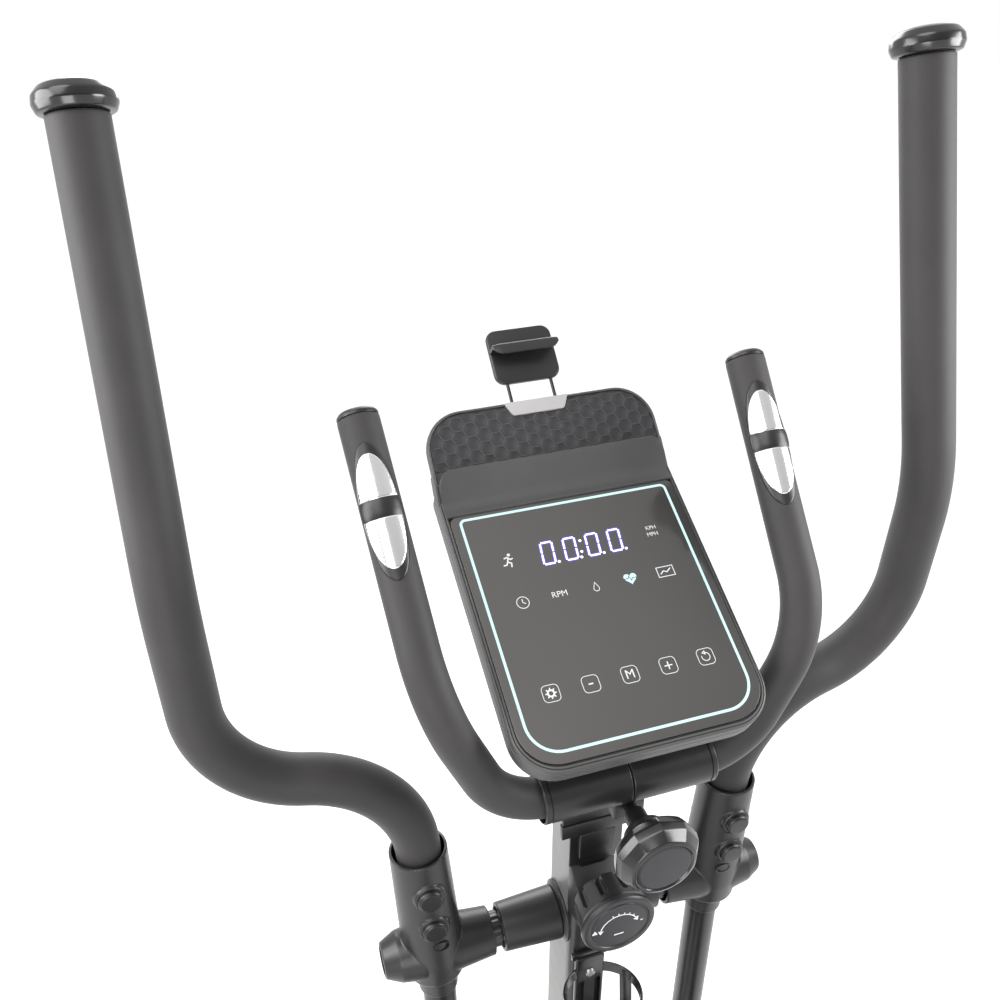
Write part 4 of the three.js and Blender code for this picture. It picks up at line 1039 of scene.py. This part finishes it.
# ---- what the glass shows
def segment_digit(x, y, w, h, t, lean, grow=0.0):
    """Six lit segments of a zero; lean is the sideways shift from bottom to top."""
    gap, half, near, far, high = 0.5, h / 2, t / 2, w - t / 2, h - t / 2
    bars = [[(near + gap, high), (far - gap, high)], [(near + gap, near), (far - gap, near)],
            [(far, half + gap), (far, high - gap)], [(far, near + gap), (far, half - gap)],
            [(near, near + gap), (near, half - gap)], [(near, half + gap), (near, high - gap)]]
    slanted = [[(px + py * lean / h, py) for px, py in ends] for ends in bars]
    return [moved(ribbon(ends, t + grow), x, y) for ends in slanted]


def readout():
    w, h, t, lean = 9.7, 18.0, 1.2, 1.9
    start, base, pitch = -30.5, 41.0, 16.8
    dots = [(start + 11.6 + pitch * k, base + 0.9) for k in range(4)] + [(-0.7, base + 5.1),
            (0.8, base + 13.7)]
    parts = [disc(1.0, 0, 0.08, *dot) for dot in dots]
    halo = []
    for k in range(4):
        parts += segment_digit(start + pitch * k, base, w, h, t, lean)
        halo += [moved(p, 0, 0, -0.05) for p in segment_digit(start + pitch * k, base, w, h, t, lean, 1.4)]
    piece("led_digits", joined(*parts), "root", DIGIT, CONSOLE @ shift(0, 0, 0.1))
    piece("led_glow", joined(*halo), "root", HALO, CONSOLE @ shift(0, 0, 0.04))


def text(name, words, x, y, size):
    curve = bpy.data.curves.new(name, "FONT")
    curve.body = words
    curve.size = size * MM
    curve.align_x = "CENTER"
    curve.align_y = "CENTER"
    curve.extrude = 0.04 * MM
    curve.materials.append(ICON)
    obj = bpy.data.objects.new(name, curve)
    bpy.context.scene.collection.objects.link(obj)
    obj.matrix_world = CONSOLE @ shift(x, y, 0.06)
    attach(obj, "root")


ICON_ROW = {"clock": (-53.2, 17.0), "rpm": (-26.6, 17.7), "drop": (0, 17.5), "heart": (26, 18.6),
        "track": (52.7, 18.4)}
BUTTON_ROW = [(-54.7, -49.1), (-27.1, -48.9), (0.6, -48.7), (28.2, -48.6), (55.7, -48.5)]
RUNNER_AT = (-53.5, 49.4)


def status_icons():
    clock = [ribbon(arc_points(4.3, 0, 345, 26), 0.55, closed=True),
            ribbon([(0, 2.6), (0, 0), (1.9, -1.2)], 0.6)]
    drop = [ribbon(arc_points(2.0, 160, 380, 18, 0, -1.2) + [(0, 3.6)], 0.5, closed=True)]
    frame_box = [(-6.1, -3.8), (6.1, -3.8), (6.1, 3.8), (-6.1, 3.8)]
    track = [ribbon(frame_box, 0.6, closed=True), ribbon([(-4.2, -1.6), (-1.6, 0.6), (0.8, -0.6), (4.2, 2)],
            0.8)]
    limbs = [[(-2.8, 2.6), (-0.4, 3.2), (1.6, 1.2), (3.4, 1.8)],
            [(0.3, 3.0), (-0.8, -0.4), (1.6, -1.8), (1.0, -4.8)],
            [(-0.8, -0.4), (-2.0, -2.6), (-4.4, -2.8)]]
    runner = [disc(1.15, 0, 0.08, 1.2, 4.9)] + [ribbon(line, 1.0) for line in limbs]
    placed = ((clock, ICON_ROW["clock"]), (drop, ICON_ROW["drop"]), (track, ICON_ROW["track"]),
            (runner, RUNNER_AT))
    return [moved(shape, *at) for shapes, at in placed for shape in shapes]


def button_icons():
    square = round_rect(11.5, 11.5, 3, 3, 0, 0, 5)(0)
    parts = [moved(ribbon(square, 0.45, closed=True), *at) for at in BUTTON_ROW]
    rings = []
    for tooth, root, z in ((3.9, 2.8, 0), (3.9, 2.8, 0.08), (1.5, 1.5, 0.08), (1.5, 1.5, 0)):
        angles = [TAU * (k // 4 + (0.12, 0.22, 0.78, 0.88)[k % 4]) / 8 for k in range(32)]
        radii = [(tooth, root, root, tooth)[k % 4] for k in range(32)]
        rings.append([(*polar(r, a), z) for r, a in zip(radii, angles)])
    gear = skin(rings, loop=True)
    reset = [ribbon(arc_points(2.9, 90, -200, 24), 0.55), ribbon([(-1.6, 2.9), (0.2, 4.0), (0.2, 1.8)], 0.6,
            closed=True)]
    signs = ([gear], [ribbon([(-1.6, 0), (1.6, 0)], 1.0)], [],
            [ribbon([(-2.8, 0), (2.8, 0)], 0.8), ribbon([(0, -2.8), (0, 2.8)], 0.8)], reset)
    return parts + [moved(shape, *at) for shapes, at in zip(signs, BUTTON_ROW) for shape in shapes]


def icons():
    piece("icons", joined(*status_icons(), *button_icons()), "root", ICON, CONSOLE @ shift(0, 0, 0.06))
    x, y = ICON_ROW["heart"]
    heart = []
    for k in range(40):
        t = TAU * k / 40
        up = 13 * math.cos(t) - 5 * math.cos(2 * t) - 2 * math.cos(3 * t) - math.cos(4 * t)
        heart.append((0.3 * 16 * math.sin(t) ** 3, 0.3 * up))
    flat = [[(px, py, z) for px, py in heart] for z in (0, 0.08)]
    piece("heart_icon", moved(skin(flat), x, y), "root", CYAN, CONSOLE @ shift(0, 0, 0.06))
    beat = ribbon([(-5, 0), (-1.8, 0), (-0.8, 1.7), (0.4, -1.8), (1.3, 0), (5, 0)], 0.5)
    piece("heart_beat", moved(beat, x, y), "root", DEEP, CONSOLE @ shift(0, 0, 0.16), slot="smoked_panel")
    text("rpm_label", "RPM", *ICON_ROW["rpm"], 6.2)
    text("kph_label", "KPH", 55, 54.2, 4.3)
    text("mph_label", "MPH", 54.6, 48.9, 4.3)
    text("mode_label", "M", *BUTTON_ROW[2], 8.8)


def border_line():
    outer = round_rect(158, 176.6, 4.5, 22, 0, 0, 10)
    levels = [(0, 0), (0, 0.08), (1.9, 0.08), (1.9, 0), (0, 0)]
    piece("cyan_border", stack(outer, levels, loop=True), "root", CYAN, CONSOLE @ shift(0, 0, 0.05))


readout()
icons()
border_line()

# ---- phone clamp
CLAMP_LOW = REST_H + 15.8


def phone_clamp():
    plate = slab(round_rect(51, 43, 8, 8, 0, CLAMP_LOW + 21.5, 8), -7.5, -2.5, 1.3, 1.6)
    shelf = CLAMP_LOW + 27
    rings = []
    for k in range(29):
        u = -1 + 2 * k / 28
        x = 25.2 * math.sin(u * math.pi / 2)
        t = 1 - max(0.0, (abs(x) - 18) / 7.2) ** 2 * 0.55
        reach = 12 * (0.75 + 0.25 * t)
        drop = 9 * t
        profile = soften([(shelf, -3.2), (shelf, reach - 1.0, 2.4), (shelf - drop, reach + 0.6, 0.8),
                (shelf - drop, reach - 1.2, 0.8), (shelf - 2.6, reach - 3.4, 1.5), (shelf - 2.6, -3.2),
                (shelf, -3.2)], 3)[:-1]
        rings.append([(x, y, z) for y, z in profile])
    piece("holder_plate", joined(plate, skin(rings)), "phone_holder", PLASTIC, REST, "phone_clamp", angle=50)
    rods = [moved(lathe([(0, REST_H - 62), (1.1, REST_H - 62, 0.2), (1.25, REST_H - 61),
            (1.25, CLAMP_LOW + 6), (0, CLAMP_LOW + 6)], "y", 20), x, 0, -5) for x in (-17, 17)]
    piece("holder_rods", joined(*rods), "phone_holder", PAINT, REST, "clamp_rods", slot="steel")


phone_clamp()


# ---- base
def base():
    for end in ("front", "rear"):
        low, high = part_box(f"{end}_foot_left")
        y = (low.y + high.y) / 2 / MM
        z = 31
        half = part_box(f"{end}_stabilizer")[1].x / MM
        bar = lathe(symmetric([(0, -half), (24.6, -half, 0.5), (25, -half + 1)]), "x", 64)
        parts = [moved(bar, 0, y, z)]
        if end == "front":
            parts += wheel_forks(y)
        piece(f"{end}_base_tube", joined(*parts), "root", PAINT, Matrix(), f"{end}_stabilizer")
        for side, sign in (("left", -1), ("right", 1)):
            cap = lathe([(25.3, half - 42), (28, half - 42, 0.8), (28, half + 3, 3), (22, half + 6, 2),
                    (0, half + 6), (0, half + 1), (25.3, half + 1), (25.3, half - 42)], "x", 64,
                    closed=True)
            pad = block(half - 37, half + 1, -19.5, 19.5, -z, -16, 2.5)
            piece(f"{end}_end_cap_{side}", moved(joined(cap, pad), 0, y, z), "root", RUBBER, Matrix(),
                    f"{end}_foot_{side}", mirror=sign < 0)
    for side in SIDES:
        centre = Vector(JOINT[f"{side}_wheel_spin"]["pos_m"]) / MM
        half = [(4.3, -11), (9, -11, 0.5), (10, -9, 0.5), (19, -9, 0.6), (20, -11, 0.6), (23, -11, 1.5),
                (25, -8, 2)]
        tyre = lathe(symmetric(half, True), "x", 64, closed=True)
        piece(f"wheel_tyre_{side}", moved(tyre, *centre), f"wheel_{side}", RUBBER, Matrix(),
                f"transport_wheel_{side}")


def wheel_forks(y):
    wheel = Vector(JOINT["right_wheel_spin"]["pos_m"]) / MM
    parts = []
    for sign in (-1, 1):
        for ear in (-1, 1):
            x = sign * wheel.x + ear * 14
            plate = slab(round_rect(wheel.y + 12 - y - 15, 20, 9, 9, (wheel.y + 12 + y + 15) / 2, wheel.z,
                    6), x - 2, x + 2, 0.5, plane="yz")
            parts.append(plate)
        pin = lathe(symmetric([(0, -17.5), (6, -17.5, 1), (6, -16), (4, -16)]), "x", 32)
        parts.append(moved(pin, sign * wheel.x, wheel.y, wheel.z))
    return parts


def main_beam():
    low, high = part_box("main_beam")
    outline = round_rect(60, 40, 5, 5, 0, (low.z + high.z) / 2 / MM, 4)
    a, b = low.y / MM, high.y / MM
    piece("beam_tube", stack(outline, [(3, a), (0, a + 0.2), (0, b - 0.2), (3, b)], "xz"), "root", PAINT,
            Matrix(), "main_beam")


base()
main_beam()


# ---- drive housing, cranks
def around_pulleys(big, small, steps=18):
    """Outline round both pulleys' centres, as a function of its inset."""
    line = math.atan2(FLY_Z - CRANK_Z, FLY_Y - CRANK_Y)
    lean = math.acos((big - small) / math.hypot(FLY_Y - CRANK_Y, FLY_Z - CRANK_Z))

    def outline(inset=0):
        points = []
        for y, z, r, a, b in ((FLY_Y, FLY_Z, small, line - lean, line + lean),
                (CRANK_Y, CRANK_Z, big, line + lean, line - lean + TAU)):
            count = steps if r == small else steps * 2
            for k in range(count + 1):
                points.append(polar(r - inset, a + (b - a) * k / count, y, z))
        return points
    return outline


def housing():
    big, small, wall = 184, 146, 3
    outline = around_pulleys(big, small)
    levels = [(0.8, 0.2), (0, 1.0), (0, 36), (0.6, 40), (2.4, 44), (5.4, 47), (10, 49), (16, 49.8), (20, 50),
            (22, 49.2), (24, 49), (58, 49), (60, 49.8), (64, 50)]
    hollow = stack(around_pulleys(big - wall, small - wall), [(0, -5), (0, 47)], "yz")
    hole = moved(lathe([(0, 30), (24, 30), (24, 60), (0, 60)], "x", 64), 0, CRANK_Y, CRANK_Z)
    slot = block(-10, 4.6, CRANK_Y - 60, FLY_Y + 120, 60, 180, 0.5)
    ring = lathe([(24.5, 49), (58, 49), (58, 51.5, 1.5), (52, 53, 2), (34, 53, 2), (24.5, 50.5, 1),
            (24.5, 49)], "x", 96, closed=True)
    for side in SIDES:
        mirror = side == "left"
        shell = mesh_object(f"drive_shell_{side}", *stack(outline, levels, "yz"), Matrix(), mirror)
        carve(shell, hollow, hole, slot, mirror=mirror)
        finish_piece(shell, "root", HOUSING, f"housing_{side}", 30)
        piece(f"crank_ring_{side}", moved(ring, 0, CRANK_Y, CRANK_Z), "root", SATIN, Matrix(), mirror=mirror,
                slot="housing_plastic")


def crank(side):
    add = side_maker(side, "crankset", Matrix())
    pin = node_centre(f"crank_pin_{side}")
    away = (pin - CRANK_AT) / MM
    reach = math.hypot(away.y, away.z)
    angle = math.atan2(away.z, away.y)

    def outline(inset=0):
        return arc_points(17 - inset, -88, 88, 16, reach) + arc_points(22 - inset, 92, 268, 16)
    blade = stack(outline, [(1.5, 60), (0.4, 60.4), (0, 61.5), (0, 72.5), (0.4, 73.6), (1.5, 74), (5, 74),
            (6.5, 72.6), (7, 72.6)], "yz")
    blade = moved(blade, turned=turn(angle))
    nut = lathe([(0, 72), (13, 72), (13, 76, 1), (9, 77.5, 1), (0, 77.8)], "x", 6)
    cap = lathe([(0, 70), (8, 70), (8, 75.5, 0.8), (0, 75.8)], "x", 32)
    tip = (0, *polar(reach, angle))
    shape = joined(blade, nut, moved(cap, *tip))
    add("crank_arm", moved(shape, 0, CRANK_Y, CRANK_Z), PAINT, "crank", slot="iron")


def beam(side):
    add = side_maker(side, f"beam_{side}", beam_frame(side))
    pin = node_centre(f"crank_pin_{side}")
    length = (pin - Vector(JOINT[f"{side}_beam_tilt"]["pos_m"])).yz.length / MM
    web = stack(round_rect(30, 40, 6, 6, BEAM_X, 0, 4), [(2, -length + 16), (0, -length + 17), (0, -32),
            (2, -31)], "xz")
    parts = [web, block(BEAM_X - 18, BEAM_X + 18, -70, -30, -17, 17, 2)]
    for ear in (-1, 1):
        x = BEAM_X + ear * 18
        parts.append(slab(round_rect(90, 36, 16, 16, -27, 0, 6), x - 2.5, x + 2.5, 0.7, plane="yz"))
    pivot = lathe([(0, -26), (7, -26), (9, -25, 1), (13, -24.5, 1), (13, -20.5), (8, -20.5), (8, 20.5),
            (13, 20.5), (13, 24.5, 1), (9, 25, 1), (0, 26)], "x", 48)
    hub = lathe(symmetric([(10.3, -18), (20.5, -18, 1), (22, -16.5, 1)], True), "x", 64, closed=True)
    parts += [moved(pivot, BEAM_X), moved(hub, BEAM_X, -length)]
    add("beam_body", joined(*parts), PAINT, "pedal_beam")
    spindle = lathe([(0, 77), (9, 77, 0.6), (10, 78), (10, 149), (14, 149), (15, 150, 1), (15, 155, 1.5),
            (12, 156.4, 1), (0, 156.5)], "x", 48)
    add("spindle", moved(spindle, 0, -length), STEEL, "crank_pin")


PEDAL = {"x0": 84, "x1": 214, "y0": -460, "y1": -120, "z": 20.3}


def pedal(side):
    add = side_maker(side, f"beam_{side}", beam_frame(side))
    width, length = PEDAL["x1"] - PEDAL["x0"], PEDAL["y1"] - PEDAL["y0"]
    cx, cy = (PEDAL["x0"] + PEDAL["x1"]) / 2, (PEDAL["y0"] + PEDAL["y1"]) / 2
    outline = round_rect(width, length, 50, 30, cx, cy, 14)
    rings = []

    def rim(y):
        t = (y - PEDAL["y0"] - 70) / 80
        t = min(1.0, max(0.0, t))
        return 19 + 15 * t * t * (3 - 2 * t)
    for inset, h in ((2.5, 0), (0.6, 0.7), (0, 3), (0, 0.9), (0.4, 0.97), (1.6, 1.0), (3.4, 1.0),
            (4.6, 0.96), (5.6, 0.8), (7.5, 12.5), (9, 12.0)):
        ring = []
        for x, y in outline(inset):
            z = h * rim(y) if 0 < h <= 1 and inset != 0.6 else h
            ring.append((x, y, PEDAL["z"] + z))
        rings.append(ring)
    add("foot_tray", skin(rings), HOUSING, "pedal")
    treads = []
    for k in range(15):
        y = PEDAL["y0"] + 28 + k * 19.5
        narrow = 18 if k == 14 else 8 if k == 13 or k == 0 else 0
        treads.append(block(PEDAL["x0"] + 18 + narrow, PEDAL["x1"] - 18 - narrow, y, y + 9, PEDAL["z"] + 11,
                PEDAL["z"] + 14, 1.2))
    add("foot_treads", joined(*treads), RUBBER)


housing()
for side_name in SIDES:
    crank(side_name)
    beam(side_name)
    pedal(side_name)

# Parts behind the housing keep their own shape.
for node, material in (("drive_pulley", PLASTIC), ("drive_belt", RUBBER), ("flywheel", IRON),
        ("brake_magnet", STEEL), ("drive_bracket", PAINT)):
    frame["nodes"][node].data.materials.clear()
    frame["nodes"][node].data.materials.append(material)


# ---- floor, light, camera
def floor():
    obj = mesh_object("floor", *disc(40000, -2, 0, 0, 0, 96), Matrix.Translation((0, 0, -0.0005)))
    n = Nodes("pale_floor")
    n.shader(Base_Color=(0.85, 0.85, 0.85, 1), Roughness=0.9, Specular_IOR_Level=0.0)
    obj.data.materials.append(n.material)


def sky():
    """White surroundings, brightest above and behind, dim in front."""
    world = bpy.data.worlds.new("studio")
    world.use_nodes = True
    tree = world.node_tree
    nodes = {kind: tree.nodes.new(f"ShaderNode{kind}") for kind in ("TexCoord", "VectorMath", "MapRange")}
    nodes["VectorMath"].operation = "DOT_PRODUCT"
    nodes["VectorMath"].inputs[1].default_value = (-0.15, 0.75, 0.62)
    for name, value in (("From Min", -0.5), ("From Max", 0.35), ("To Min", 0.3), ("To Max", 1.0)):
        nodes["MapRange"].inputs[name].default_value = value
    tree.links.new(nodes["TexCoord"].outputs["Generated"], nodes["VectorMath"].inputs[0])
    tree.links.new(nodes["VectorMath"].outputs["Value"], nodes["MapRange"].inputs["Value"])
    tree.links.new(nodes["MapRange"].outputs["Result"], tree.nodes["Background"].inputs["Strength"])
    tree.nodes["Background"].inputs["Color"].default_value = (1, 1, 1, 1)
    bpy.context.scene.world = world


def lamp(name, kind, energy, towards, at=(0, 0, 0)):
    light = bpy.data.lights.new(name, kind)
    light.energy = energy
    obj = bpy.data.objects.new(name, light)
    obj.location = at
    obj.rotation_euler = Vector(towards).to_track_quat("-Z", "Y").to_euler()
    bpy.context.scene.collection.objects.link(obj)
    return light


def lights():
    lamp("soft_key", "SUN", 1.6, (0.55, 0.45, -1)).angle = math.radians(45)
    target = Vector((0, 0.32, 1.3))
    boxes = (("left_box", (-1.0, 0.35, 1.65), 0.8, 13), ("right_box", (1.0, -0.15, 1.55), 0.7, 16),
            ("back_box", (0.3, 2.6, 2.4), 1.6, 40), ("low_box", (-0.55, -0.75, 1.15), 0.6, 6))
    for name, at, size, watts in boxes:
        lamp(name, "AREA", watts, target - Vector(at), at).size = size


def camera():
    yaw, pitch, roll = (math.radians(a) for a in (16.70, 23.78, -3.23))
    data = bpy.data.cameras.new("camera")
    data.sensor_width = 36
    data.lens = 37.59
    data.clip_end = 100
    obj = bpy.data.objects.new("camera", data)
    forward = Vector((math.sin(yaw) * math.cos(pitch), math.cos(yaw) * math.cos(pitch), -math.sin(pitch)))
    level = Vector((math.cos(yaw), -math.sin(yaw), 0))
    up = level.cross(forward)
    right = level * math.cos(roll) + up * math.sin(roll)
    up = right.cross(forward)
    basis = Matrix((right, up, -forward)).transposed().to_4x4()
    obj.matrix_world = UPPER @ shift(-240.3, -641.6, 686.6) @ basis
    bpy.context.scene.collection.objects.link(obj)
    bpy.context.scene.camera = obj


floor()
sky()
lights()
camera()
bpy.context.scene.view_settings.view_transform = "Standard"
